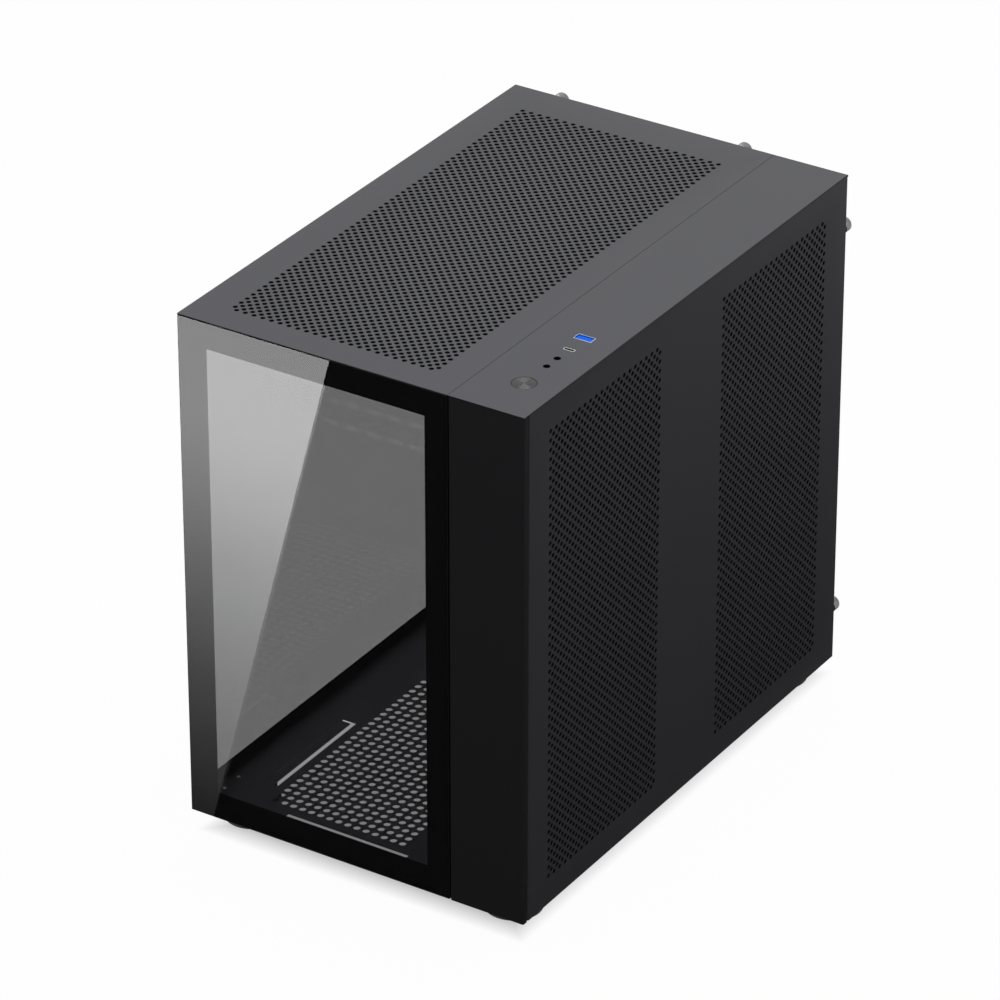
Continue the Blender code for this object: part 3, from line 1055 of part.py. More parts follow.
def port_module():
    top = BODY_HEIGHT - SHEET - SEAT
    left, right = PORT_LINE_X - MODULE_WIDTH / 2, PORT_LINE_X + MODULE_WIDTH / 2
    module = block("port_module", (left, right), (MODULE_FRONT_Y, MODULE_REAR_Y), (top - MODULE_DEPTH, top),
                   PLASTIC)
    through = (top - MODULE_DEPTH - CUT_OVER, top + CUT_OVER)
    cuts = Shapes("port_module_openings")
    cuts.prism((PORT_LINE_X, BUTTON_Y, 0), BUTTON_STEM_RADIUS + BUTTON_CLEARANCE, STEM_SIDES, 2, through)
    for y in (JACK_FRONT_Y, JACK_REAR_Y):
        cuts.prism((PORT_LINE_X, y, 0), JACK_RADIUS + SEAT, JACK_SIDES, 2, through)
    cuts.outline(track((PORT_LINE_X, USB_C_Y), USB_C_LENGTH + 2 * SEAT, USB_C_WIDTH + 2 * SEAT), 2, through)
    half_x, half_y = USB_A_LENGTH / 2 + SEAT, USB_A_WIDTH / 2 + SEAT
    cuts.box((PORT_LINE_X - half_x, PORT_LINE_X + half_x), (USB_A_Y - half_y, USB_A_Y + half_y), through)
    cuts.apply(module)
    pocket = Shapes("button_pocket")
    pocket.prism((PORT_LINE_X, BUTTON_Y, 0), BUTTON_FLANGE_RADIUS + BUTTON_CLEARANCE, BUTTON_SIDES, 2,
                 (top - BUTTON_FLANGE - BUTTON_TRAVEL - SEAT, top + CUT_OVER))
    pocket.apply(module)
    board_top = top - MODULE_DEPTH - SEAT
    board = block("port_board", (left + PORT_BOARD_MARGIN, right - PORT_BOARD_MARGIN),
                  (MODULE_FRONT_Y + PORT_BOARD_MARGIN, MODULE_REAR_Y - PORT_BOARD_MARGIN),
                  (board_top - PORT_BOARD_THICK, board_top), CIRCUIT)
    stem_hole = Shapes("port_board_opening")
    stem_hole.prism((PORT_LINE_X, BUTTON_Y, 0), BUTTON_STEM_RADIUS + 2 * BUTTON_CLEARANCE, STEM_SIDES, 2,
                    (board_top - PORT_BOARD_THICK - CUT_OVER, board_top + CUT_OVER))
    stem_hole.apply(board)


def power_button():
    top = BODY_HEIGHT
    flange_top = top - SHEET - SEAT
    cap_foot = flange_top - BUTTON_FLANGE
    profile = [(0, 0), (BUTTON_RADIUS - BUTTON_EDGE, 0), (BUTTON_RADIUS, -BUTTON_EDGE),
               (BUTTON_RADIUS, flange_top - top), (BUTTON_FLANGE_RADIUS, flange_top - top),
               (BUTTON_FLANGE_RADIUS, cap_foot - top), (BUTTON_STEM_RADIUS, cap_foot - top),
               (BUTTON_STEM_RADIUS, cap_foot - BUTTON_STEM - top), (0, cap_foot - BUTTON_STEM - top)]
    turned("power_button", profile, (PORT_LINE_X, BUTTON_Y, top), SPUN_METAL, BUTTON_SIDES)


def ports():
    top = BODY_HEIGHT - PORT_RECESS
    foot = BODY_HEIGHT - SHEET - 2 * SEAT - MODULE_DEPTH + SEAT
    for name, y in (("audio_jack_front", JACK_FRONT_Y), ("audio_jack_rear", JACK_REAR_Y)):
        turned(name, [(JACK_BORE, 0), (JACK_RADIUS, 0), (JACK_RADIUS, foot - top), (0, foot - top),
                      (0, -JACK_DEPTH), (JACK_BORE, -JACK_DEPTH), (JACK_BORE, 0)],
               (PORT_LINE_X, y, top), PLASTIC, JACK_SIDES)
    shell = Shapes("usb_c_shell_body")
    shell.outline(track((PORT_LINE_X, USB_C_Y), USB_C_LENGTH, USB_C_WIDTH), 2, (foot, top))
    usb_c = bpy.data.objects.new("usb_c_shell", mesh_from("usb_c_shell", shell.bm))
    finish(usb_c, BARE_METAL)
    mouth = Shapes("usb_c_mouth")
    mouth.outline(track((PORT_LINE_X, USB_C_Y), USB_C_LENGTH - 2 * USB_C_WALL, USB_C_WIDTH - 2 * USB_C_WALL),
                  2, (top - SHELL_DEPTH, top + CUT_OVER))
    mouth.apply(usb_c)
    half_x, half_y = USB_A_LENGTH / 2, USB_A_WIDTH / 2
    usb_a = block("usb_a_shell", (PORT_LINE_X - half_x, PORT_LINE_X + half_x),
                  (USB_A_Y - half_y, USB_A_Y + half_y), (foot, top), BARE_METAL)
    mouth = Shapes("usb_a_mouth")
    mouth.box((PORT_LINE_X - half_x + USB_A_WALL, PORT_LINE_X + half_x - USB_A_WALL),
              (USB_A_Y - half_y + USB_A_WALL, USB_A_Y + half_y - USB_A_WALL),
              (top - SHELL_DEPTH, top + CUT_OVER))
    mouth.apply(usb_a)
    tongue_foot = top - SHELL_DEPTH + SEAT
    reach = USB_C_LENGTH / 2 - USB_C_TONGUE_INSET
    block("usb_c_tongue", (PORT_LINE_X - reach, PORT_LINE_X + reach),
          (USB_C_Y - USB_C_TONGUE / 2, USB_C_Y + USB_C_TONGUE / 2),
          (tongue_foot, top - USB_C_TONGUE_DROP), PLASTIC)
    back = USB_A_Y + half_y - USB_A_WALL - SEAT
    reach = half_x - USB_A_TONGUE_INSET
    block("usb_a_tongue", (PORT_LINE_X - reach, PORT_LINE_X + reach), (back - USB_A_TONGUE, back),
          (tongue_foot, top - USB_A_TONGUE_DROP), BLUE)


# Narrow chamber: shelf under the power supply, drive cage and small drive brackets

def supply_shelf():
    left, right = SUPPLY_LEFT, FRAME_RIGHT - SHELF_MARGIN
    folded("supply_shelf", [(left, TRAY_BASE), (left, SUPPLY_BASE - SEAT), (right, SUPPLY_BASE - SEAT),
                            (right, TRAY_BASE)],
           1, (SHELF_FRONT, SHELF_FRONT + SHELF_DEPTH), STEEL)


def drive_cage():
    left, right = SUPPLY_LEFT, FRAME_RIGHT - CAGE_MARGIN
    front, rear = CAGE_FRONT, CAGE_FRONT + CAGE_DEPTH
    cage = open_box("drive_cage", (left, right), (front, rear), (TRAY_BASE, CAGE_TOP), (0, -1, 0), STEEL)
    cuts = Shapes("drive_cage_windows")
    edge = CAGE_WINDOW_MARGIN
    middle = (front + rear) / 2
    for y in ((front + edge, middle - edge / 2), (middle + edge / 2, rear - edge)):
        cuts.box((left - CUT_OVER, right + CUT_OVER), y, (TRAY_BASE + 2 * edge, CAGE_TOP - 2 * edge))
    cuts.box((left + edge, right - edge), (rear - SHEET - CUT_OVER, rear + CUT_OVER),
             (TRAY_BASE + edge, CAGE_TOP - edge))
    cuts.apply(cage)
    room = (right - left - 2 * SHEET) / 2
    for index, side in enumerate(("left", "right")):
        low = left + SHEET + index * room + CARRIER_CLEARANCE / 2
        high = low + room - CARRIER_CLEARANCE
        bottom, peak = TRAY_BASE + SHEET + SEAT, CAGE_TOP - SHEET - CARRIER_CLEARANCE
        back = rear - SHEET - CARRIER_CLEARANCE
        carrier = block(f"drive_carrier_{side}", (low, high), (front - CARRIER_HANDLE, back),
                        (bottom, peak), PLASTIC)
        hollow = Shapes(f"drive_carrier_{side}_bay")
        hollow.box((low + CARRIER_WALL, high + CUT_OVER), (front + CARRIER_WALL, back - CARRIER_WALL),
                   (bottom + CARRIER_WALL, peak - CARRIER_WALL))
        hollow.box((low + CARRIER_GRIP, high + CUT_OVER), (front - CARRIER_HANDLE + CARRIER_WALL, front),
                   (bottom + CARRIER_GRIP, peak - CARRIER_GRIP))
        hollow.apply(carrier)


def ssd_brackets():
    """Raised plates for small drives on the back of the tray, between its top and the drive cage."""
    left = SUPPLY_LEFT
    count = int((SSD_TOP + SSD_GAP - CAGE_TOP) / SSD_PITCH)
    for index, name in zip(range(count), ("ssd_bracket_upper", "ssd_bracket_lower")):
        base = SSD_TOP - SSD_HEIGHT - index * SSD_PITCH
        rear = SSD_FRONT + SSD_DEPTH
        plate = folded(name, [(left, SSD_FRONT), (left + SSD_STAND, SSD_FRONT), (left + SSD_STAND, rear),
                              (left, rear)],
                       2, (base, base + SSD_HEIGHT), STEEL)
        cuts = Shapes(name + "_openings")
        across = (left - CUT_OVER, left + SSD_STAND + CUT_OVER)
        middle = (SSD_FRONT + SSD_DEPTH / 2, base + SSD_HEIGHT / 2)
        cuts.outline(track(middle, SSD_DEPTH - 2 * SSD_WINDOW_MARGIN_Y, SSD_HEIGHT - 2 * SSD_WINDOW_MARGIN_Z),
                     0, across)
        for y in (SSD_FRONT + SSD_SCREW_INSET_Y, rear - SSD_SCREW_INSET_Y):
            for z in (base + SSD_SCREW_INSET_Z, base + SSD_HEIGHT - SSD_SCREW_INSET_Z):
                cuts.prism((0, y, z), SMALL_HOLE_RADIUS, SMALL_HOLE_SIDES, 0, across)
        cuts.apply(plate)


# Feet with rubber pads, under the pan

def feet():
    left, right = FOOT_INSET_LEFT, BODY_WIDTH - FOOT_INSET_RIGHT
    front, rear = FOOT_INSET_FRONT, BODY_DEPTH - FOOT_INSET_REAR
    places = {"front_left": (left, front), "front_right": (right, front),
              "rear_left": (left, rear), "rear_right": (right, rear)}
    top = FLOOR_HEIGHT - SHEET - SEAT
    foot = -FOOT_HEIGHT + PAD_PROUD
    recess_top = foot + FOOT_RECESS + SEAT
    for name, (x, y) in places.items():
        turned("foot_" + name,
               [(0, top), (FOOT_NECK_RADIUS, top), (FOOT_NECK_RADIUS, -FOOT_NECK),
                (FOOT_RADIUS - FOOT_EDGE, -FOOT_NECK), (FOOT_RADIUS, -FOOT_NECK - FOOT_EDGE),
                (FOOT_RADIUS, foot + FOOT_EDGE), (FOOT_RADIUS - FOOT_EDGE, foot), (PAD_RADIUS + SEAT, foot), (PAD_RADIUS + SEAT, recess_top),
                (0, recess_top)], (x, y, 0), PLASTIC, FOOT_SIDES)
        turned("foot_pad_" + name,
               [(0, -FOOT_HEIGHT + PAD_HEIGHT), (PAD_RADIUS, -FOOT_HEIGHT + PAD_HEIGHT),
                (PAD_RADIUS, -FOOT_HEIGHT + PAD_EDGE), (PAD_RADIUS - PAD_EDGE, -FOOT_HEIGHT),
                (0, -FOOT_HEIGHT)], (x, y, 0), RUBBER, FOOT_SIDES)


# Thumbscrews at the back of the sliding panels

def thumbscrews():
    groups = (("cover_thumbscrew_", ("left", "right"), cover_screws(), COVER_SLIDE),
              ("panel_thumbscrew_", ("upper", "lower"), panel_screws(), PANEL_SLIDE),
              ("door_thumbscrew_", ("upper", "lower"), door_screws(), DOOR_SLIDE))
    collar = SEAT + THUMB_COLLAR
    top = collar + THUMB_HEIGHT
    profile = [(0, top), (THUMB_RADIUS - THUMB_CHAMFER, top), (THUMB_RADIUS, top - THUMB_CHAMFER),
               (THUMB_RADIUS, collar + THUMB_EDGE), (THUMB_RADIUS - THUMB_EDGE, collar),
               (THUMB_COLLAR_RADIUS, collar), (THUMB_COLLAR_RADIUS, SEAT), (THUMB_SHAFT_RADIUS, SEAT),
               (THUMB_SHAFT_RADIUS, SEAT - THUMB_SHAFT), (0, SEAT - THUMB_SHAFT)]
    for stem, names, places, parent in groups:
        for name, (x, z) in zip(names, places):
            turned(stem + name, profile, (x, BODY_DEPTH, z), SCREW_METAL, THUMB_SIDES,
                   (-math.pi / 2, 0, 0), parent)


base_pan()
rear_wall()
top_frame()
front_pillar()
motherboard_tray()
grommets()
slot_covers()
front_glass()
front_trim()
left_door()
right_panel()
top_cover()
port_cover()
port_module()
power_button()
ports()
supply_shelf()
drive_cage()
ssd_brackets()
feet()
thumbscrews()
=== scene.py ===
"""A dual-chamber computer case in black powder-coated steel and tinted glass, dressed for its photograph."""

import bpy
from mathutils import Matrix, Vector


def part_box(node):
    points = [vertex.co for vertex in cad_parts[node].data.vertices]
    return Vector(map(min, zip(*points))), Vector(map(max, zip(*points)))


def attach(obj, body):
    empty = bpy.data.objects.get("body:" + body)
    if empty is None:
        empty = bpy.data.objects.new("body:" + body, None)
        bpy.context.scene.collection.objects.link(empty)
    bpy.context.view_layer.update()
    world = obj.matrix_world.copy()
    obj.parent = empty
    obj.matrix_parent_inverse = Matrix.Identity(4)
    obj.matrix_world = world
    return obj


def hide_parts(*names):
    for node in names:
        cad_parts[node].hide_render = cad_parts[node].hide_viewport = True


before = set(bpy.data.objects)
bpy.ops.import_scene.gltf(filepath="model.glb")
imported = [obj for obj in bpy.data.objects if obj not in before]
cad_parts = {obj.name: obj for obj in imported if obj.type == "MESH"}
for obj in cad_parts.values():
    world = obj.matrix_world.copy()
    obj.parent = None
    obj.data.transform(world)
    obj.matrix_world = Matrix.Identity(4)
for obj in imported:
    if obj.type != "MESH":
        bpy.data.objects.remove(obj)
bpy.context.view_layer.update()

import math

import bmesh
import bpy
from mathutils import Matrix, Vector
from mathutils.geometry import delaunay_2d_cdt

# Camera
# A long lens looks down on the case from its front right corner, so that the front glass, the
# right panel and the top all show. Pieces are drawn in millimetres from the case's corner.

millimetre = 0.001
case_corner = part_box("front_glass")[0]
view_centre = Vector((0, -0.0045, 0.221))
view_distance, view_left, view_down = 4.3165, 0.01433, 0.00585
view_turn, view_tilt = math.radians(32.473), math.radians(29.276)
to_camera = Vector((math.sin(view_turn) * math.cos(view_tilt),
                    -math.cos(view_turn) * math.cos(view_tilt), math.sin(view_tilt)))
across_view = Vector((math.cos(view_turn), math.sin(view_turn), 0))
up_view = to_camera.cross(across_view)


def add_object(name, data):
    """A new object of the scene, at the origin and unturned."""
    made = bpy.data.objects.new(name, data)
    bpy.context.scene.collection.objects.link(made)
    return made


camera = add_object("camera", bpy.data.cameras.new("camera"))
camera.data.sensor_width, camera.data.lens = 36, 214.1
camera.location = view_centre + view_distance * to_camera - view_left * across_view - view_down * up_view
camera.rotation_euler = (math.pi / 2 - view_tilt, 0, view_turn)
bpy.context.scene.camera = camera

# Steel frame
# The rear wall, top frame, pillar, tray, shelf, cage, brackets, rims and slot covers are folded or
# cut from 1 mm steel and coated in fine matt black powder. They keep their own shape.


class Value:
    """An output of a finish's nodes, which is written in sums as a number is."""

    def __init__(self, socket):
        self.socket = socket

    def node(self, kind, settings=(), sockets=(), output=0):
        """Any other node of the same finish: its settings first, then its sockets."""
        made = self.socket.id_data.nodes.new(kind)
        for setting, value in dict(settings).items():
            if setting == "stops":
                ramp = made.color_ramp
                while len(ramp.elements) < len(value):
                    ramp.elements.new(1.0)
                for element, (position, shade) in zip(ramp.elements, value):
                    element.position = position
                    element.color = (shade, shade, shade, 1)
            else:
                setattr(made, setting, value)
        for name, value in dict(sockets).items():
            if isinstance(value, Value):
                self.socket.id_data.links.new(value.socket, made.inputs[name])
            else:
                made.inputs[name].default_value = value
        return Value(made.outputs[output])

    def math(self, operation, other=0.0, reflected=False):
        first, second = (other, self) if reflected else (self, other)
        return self.node("ShaderNodeMath", {"operation": operation}, {0: first, 1: second})

    def __add__(self, other):
        return self.math("ADD", other)

    def __sub__(self, other):
        return self.math("SUBTRACT", other)

    def __rsub__(self, other):
        return self.math("SUBTRACT", other, True)

    def __mul__(self, other):
        return self.math("MULTIPLY", other)

    def __gt__(self, other):
        return self.math("GREATER_THAN", other)

    __radd__ = __add__
    __rmul__ = __mul__

    def blend(self, first, second):
        """From one colour to another as this value goes from 0 to 1."""
        return self.node("ShaderNodeMix", {"data_type": "RGBA"},
                         {0: self, 6: (*first, 1), 7: (*second, 1)}, output=2)

    def ramp(self, stops):
        """A grey that goes from stop to stop as this value grows."""
        grey = self.node("ShaderNodeValToRGB", {"stops": stops}, {"Fac": self})
        return grey.node("ShaderNodeRGBToBW", {}, {0: grey})

    def x_and_y(self):
        """The X and the Y of a place."""
        apart = self.node("ShaderNodeSeparateXYZ", {}, {"Vector": self})
        return apart, Value(apart.socket.node.outputs["Y"])

    def relief(self, depth, strength):
        """A surface normal that rises by a depth in metres where this value is 1."""
        return self.node("ShaderNodeBump", {}, {"Strength": strength, "Distance": depth, "Height": self})


def new_finish(name, even, varied):
    """A material with its even sockets set, and its varied ones made from the place on the piece."""
    finish = bpy.data.materials.new(name)
    finish.use_nodes = True
    tree = finish.node_tree
    shader = tree.nodes["Principled BSDF"]
    for socket, value in even.items():
        shader.inputs[socket].default_value = value
    place = Value(tree.nodes.new("ShaderNodeTexCoord").outputs["Object"])
    for socket, value in varied(place).items():
        tree.links.new(value.socket, shader.inputs[socket])
    return finish


def noise(place, size, detail=2.0):
    """Soft random tones of about a size in metres."""
    return place.node("ShaderNodeTexNoise", {}, {"Vector": place, "Scale": 1 / size, "Detail": detail})


def powder_coat(name, shade, gloss=0.5):
    """Fine matt powder: a grain of half a millimetre over very slight clouds."""
    grain_size, grain_depth, cloud_size = 0.0006, 0.00005, 0.05
    cool_gloss = (0.87, 0.88, 1.0, 1)

    def varied(place):
        grain = noise(place, grain_size, 3.0)
        cloud = noise(place, cloud_size)
        dark, light = [c * 0.9 for c in shade], [c * 1.1 for c in shade]
        return {"Base Color": (0.5 * grain + 0.5 * cloud).blend(dark, light),
                "Roughness": 0.44 + 0.14 * grain,
                "Normal": grain.relief(grain_depth, 0.6)}
    return new_finish(name, {"IOR": 1.5, "Specular IOR Level": gloss, "Specular Tint": cool_gloss}, varied)


def give_finish(finish, *nodes):
    """Put a finish on solids that keep their own shape."""
    for node in nodes:
        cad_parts[node].data.materials.clear()
        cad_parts[node].data.materials.append(finish)


frame_coat = powder_coat("black powder coat on the frame", (0.016, 0.016, 0.0168))
give_finish(frame_coat, "rear_wall", "top_frame", "front_pillar", "motherboard_tray", "slot_retainer",
            "supply_shelf", "drive_cage", "ssd_bracket_lower", "ssd_bracket_upper", "front_glass_rim",
            "left_glass_rim", *(f"slot_cover_{number}" for number in range(1, 8)))

# Plastic and rubber parts of the frame
# The drive carriers and the moulding behind the ports are black moulded ABS with a spark-eroded
# grain. The cable openings are edged with rubber, and a green circuit board lies under the ports.

moulded_plastic = new_finish(
    "black moulded plastic", {"IOR": 1.46},
    lambda place: {"Base Color": noise(place, 0.02).blend((0.012, 0.012, 0.013), (0.018, 0.018, 0.019)),
                   "Roughness": 0.42 + 0.2 * noise(place, 0.0009),
                   "Normal": noise(place, 0.0009).relief(0.00004, 0.7)})
black_rubber = new_finish(
    "black rubber", {"IOR": 1.45, "Specular IOR Level": 0.35},
    lambda place: {"Base Color": noise(place, 0.006).blend((0.009, 0.009, 0.009), (0.016, 0.016, 0.015)),
                   "Roughness": 0.72 + 0.2 * noise(place, 0.0015),
                   "Normal": noise(place, 0.0015).relief(0.00005, 0.5)})
circuit_lacquer = new_finish(
    "green circuit lacquer", {"IOR": 1.5},
    lambda place: {"Base Color": noise(place, 0.004, 0.0).blend((0.006, 0.02, 0.012), (0.012, 0.035, 0.02)),
                   "Roughness": 0.3 + 0.15 * noise(place, 0.002)})
give_finish(moulded_plastic, "drive_carrier_left", "drive_carrier_right", "port_module")
give_finish(black_rubber, "cable_grommet_1", "cable_grommet_2", "cable_grommet_3")
give_finish(circuit_lacquer, "port_board")

# Base pan
# The floor of the case is a sheet punched with round holes on a square lattice, with two flaps
# lanced free on three sides. Its four edges are folded down and its screws are bright.

pan_front, pan_rear, pan_left, pan_right = 5.6, 437.4, 5.6, 283.4
floor_top = 11.0
floor_first, floor_columns, floor_rows, floor_pitch = (54.1, 31.3), 15, 46, 7.86
floor_field = (floor_first, floor_columns, floor_rows, floor_pitch, floor_pitch, 0)
floor_hole, floor_hole_sides = 5.7, 12
sheet_thickness, weld_distance = 1.0, 0.005


def inside(point, loop):
    """Whether a flat point lies inside a closed outline."""
    odd = False
    for one, two in zip(loop, loop[1:] + loop[:1]):
        if (one[1] > point[1]) != (two[1] > point[1]):
            crossing = one[0] + (point[1] - one[1]) * (two[0] - one[0]) / (two[1] - one[1])
            odd ^= point[0] < crossing
    return odd


def blank(outline, openings, bends=()):
    """A flat blank cut from sheet: its points and triangles, without its openings."""
    points, edges = [], []
    for loop in [outline, *openings]:
        first = len(points)
        points += [Vector(corner) for corner in loop]
        edges += [(first + i, first + (i + 1) % len(loop)) for i in range(len(loop))]
    for line in bends:
        edges.append((len(points), len(points) + 1))
        points += [Vector(end) for end in line]
    places, _, triangles, *_ = delaunay_2d_cdt(points, edges, [], 0, 1e-4)
    kept = []
    for triangle in triangles:
        middle = sum((places[i] for i in triangle), Vector((0, 0))) / 3
        if inside(middle, outline) and not any(inside(middle, loop) for loop in openings):
            kept.append(tuple(triangle))
    return [(p.x, p.y, 0) for p in places], kept


def round_loop(centre, radius, sides):
    return [(centre[0] + radius * math.cos(2 * math.pi * i / sides),
             centre[1] + radius * math.sin(2 * math.pi * i / sides)) for i in range(sides)]


def slot_loop(low, high, radius=None):
    """A slot between two corners, with round ends or with corners of a radius."""
    corner_steps = 8
    radius = radius or min(high[0] - low[0], high[1] - low[1]) / 2
    loop = []
    for x, y, start in ((high[0] - radius, high[1] - radius, 0), (low[0] + radius, high[1] - radius, 90),
                        (low[0] + radius, low[1] + radius, 180), (high[0] - radius, low[1] + radius, 270)):
        for step in range(corner_steps + 1):
            angle = math.radians(start + 90 * step / corner_steps)
            point = (x + radius * math.cos(angle), y + radius * math.sin(angle))
            if not loop or math.dist(point, loop[-1]) > 1e-3:
                loop.append(point)
    return loop if math.dist(loop[0], loop[-1]) > 1e-3 else loop[:-1]


def box_loop(low, high):
    return [(low[0], low[1]), (high[0], low[1]), (high[0], high[1]), (low[0], high[1])]


def field_loop(first, columns, rows, column_step, row_step, stagger):
    """The edge of a punched field, with a point wherever its cells have one."""
    overlap = column_step if stagger else column_step / 2
    xs = [first[0] - overlap + i * column_step for i in range(columns + (2 if stagger else 1))]
    ys = [first[1] - row_step / 2 + j * row_step for j in range(rows + 1)]
    return ([(x, ys[0]) for x in xs[:-1]] + [(xs[-1], y) for y in ys[:-1]]
            + [(x, ys[-1]) for x in xs[:0:-1]] + [(xs[0], y) for y in ys[:0:-1]])


def node_group(name, inputs, output):
    """A geometry node group with named inputs: its tree, where its values start and where it ends."""
    tree = bpy.data.node_groups.new(name, "GeometryNodeTree")
    for socket, kind in inputs:
        tree.interface.new_socket(socket, in_out="INPUT", socket_type="NodeSocket" + kind)
    tree.interface.new_socket(output, in_out="OUTPUT", socket_type="NodeSocketGeometry")
    return tree, tree.nodes.new("NodeGroupInput").outputs, tree.nodes.new("NodeGroupOutput").inputs[0]


def punching_tree():
    """Geometry nodes that fill a field of a blank with punched cells, in line or staggered."""
    tree, inputs, end = node_group("punched field", (
        ("Blank", "Geometry"), ("First Hole", "Vector"), ("Columns", "Int"), ("Rows", "Int"),
        ("Column Step", "Float"), ("Row Step", "Float"), ("Hole Diameter", "Float"), ("Hole Sides", "Int"),
        ("Stagger", "Int"), ("Shift", "Int"), ("Coat", "Material")), "Sheet")

    def add(kind, settings=(), sockets=(), output=0):
        made = tree.nodes.new(kind)
        for setting, value in dict(settings).items():
            setattr(made, setting, value)
        for name, value in dict(sockets).items():
            if isinstance(value, bpy.types.NodeSocket):
                tree.links.new(value, made.inputs[name])
            else:
                made.inputs[name].default_value = value
        return made.outputs[output]

    def sums(operation, first, second):
        return add("ShaderNodeMath", {"operation": operation}, {0: first, 1: second})

    staggered = inputs["Stagger"]
    cell_width = sums("MULTIPLY", inputs["Column Step"], sums("ADD", staggered, 1.0))
    outline = add("GeometryNodeCurvePrimitiveQuadrilateral", {},
                  {"Width": cell_width, "Height": inputs["Row Step"]})
    corners = add("GeometryNodeResampleCurve", {},
                  {"Curve": outline, "Count": sums("ADD", sums("MULTIPLY", staggered, 2.0), 4.0)})
    hole = add("GeometryNodeCurvePrimitiveCircle", {},
               {"Resolution": inputs["Hole Sides"], "Radius": sums("DIVIDE", inputs["Hole Diameter"], 2.0)})
    hole = add("GeometryNodeTransform", {}, {"Geometry": hole, "Rotation": (0, 0, math.pi / 8)})
    join = tree.nodes.new("GeometryNodeJoinGeometry")
    tree.links.new(corners, join.inputs[0])
    tree.links.new(hole, join.inputs[0])
    cell = add("GeometryNodeFillCurve", {}, {"Curve": join.outputs[0]})
    half_outline = add("GeometryNodeCurvePrimitiveQuadrilateral", {},
                       {"Width": inputs["Column Step"], "Height": inputs["Row Step"]})
    half_cell = add("GeometryNodeFillCurve", {}, {"Curve": half_outline})

    wide = sums("MULTIPLY", sums("SUBTRACT", inputs["Columns"], 1.0), inputs["Column Step"])
    deep = sums("MULTIPLY", sums("SUBTRACT", inputs["Rows"], 1.0), inputs["Row Step"])
    places = add("GeometryNodeMeshGrid", {}, {"Size X": wide, "Size Y": deep, "Vertices X": inputs["Columns"],
                                              "Vertices Y": inputs["Rows"]})
    apart = add("ShaderNodeSeparateXYZ", {}, {0: add("GeometryNodeInputPosition")})
    column = sums("ROUND", sums("DIVIDE", sums("ADD", apart, sums("MULTIPLY", wide, 0.5)),
                                inputs["Column Step"]), 0.0)
    row = sums("ROUND", sums("DIVIDE", sums("ADD", apart.node.outputs["Y"], sums("MULTIPLY", deep, 0.5)),
                             inputs["Row Step"]), 0.0)
    counted = sums("ADD", sums("ADD", column, row), inputs["Shift"])
    between = sums("MULTIPLY", sums("MODULO", counted, 2.0), staggered)
    punched = sums("LESS_THAN", between, 0.5)
    at_start = sums("MULTIPLY", between, sums("LESS_THAN", column, 0.5))
    at_end = sums("MULTIPLY", between,
                  sums("GREATER_THAN", column, sums("SUBTRACT", inputs["Columns"], 1.5)))
    half_step = sums("MULTIPLY", inputs["Column Step"], 0.5)
    centre = add("ShaderNodeCombineXYZ", {}, {"X": sums("MULTIPLY", wide, 0.5),
                                              "Y": sums("MULTIPLY", deep, 0.5)})
    final = tree.nodes.new("GeometryNodeJoinGeometry")
    for shape, choice, shift in ((cell, punched, None), (half_cell, at_start, -1.0), (half_cell, at_end, 1.0)):
        copies = add("GeometryNodeInstanceOnPoints", {}, {"Points": places, "Selection": choice,
                                                          "Instance": shape})
        move = add("ShaderNodeVectorMath", {"operation": "ADD"}, {0: centre, 1: inputs["First Hole"]})
        if shift is not None:
            aside = add("ShaderNodeCombineXYZ", {}, {"X": sums("MULTIPLY", half_step, shift)})
            move = add("ShaderNodeVectorMath", {"operation": "ADD"}, {0: move, 1: aside})
        set_out = add("GeometryNodeTransform", {}, {"Geometry": copies, "Translation": move})
        tree.links.new(set_out, final.inputs[0])
    tree.links.new(inputs["Blank"], final.inputs[0])
    real = add("GeometryNodeRealizeInstances", {}, {"Geometry": final.outputs[0]})
    joined = add("GeometryNodeMergeByDistance", {}, {"Geometry": real, "Distance": 0.02})
    coated = add("GeometryNodeSetMaterial", {}, {"Geometry": joined, "Material": inputs["Coat"]})
    tree.links.new(coated, end)
    return tree


punched_field = punching_tree()


def as_mesh(piece):
    """Take what the modifiers make as the piece's own mesh."""
    seen = piece.evaluated_get(bpy.context.evaluated_depsgraph_get())
    mesh = bpy.data.meshes.new_from_object(seen)
    piece.modifiers.clear()
    piece.data = mesh
    return mesh


def sheet_piece(name, points, triangles):
    mesh = bpy.data.meshes.new(name)
    mesh.from_pydata(points, [], triangles)
    return add_object(name, mesh)


def run_nodes(piece, group, sizes):
    """Run a node group with named inputs on a piece, and keep what it makes."""
    step = piece.modifiers.new(group.name, "NODES")
    step.node_group = group
    for item in group.interface.items_tree:
        if item.in_out == "INPUT" and item.name in sizes:
            step[item.identifier] = sizes[item.name]
    return as_mesh(piece)


def punch(piece, coat, field, hole, sides, shift=0):
    """Fill one field of a flat blank with cells, in line, or in turn where the stagger is 1."""
    first, columns, rows, column_step, row_step, stagger = field
    run_nodes(piece, punched_field, {
        "First Hole": (*first, 0.0), "Columns": columns, "Rows": rows, "Column Step": column_step,
        "Row Step": row_step, "Hole Diameter": hole, "Hole Sides": sides, "Stagger": stagger,
        "Shift": shift, "Coat": coat})


def fold(piece, move):
    """Bend a flat blank: each of its points goes where move puts it."""
    for vertex in piece.data.vertices:
        vertex.co = move(vertex.co)
    piece.data.update()


def smooth_bends(mesh, angle=50):
    mesh.shade_smooth()
    mesh.set_sharp_from_angle(angle=math.radians(angle))


to_case = Matrix.Translation(case_corner) @ Matrix.Scale(millimetre, 4)


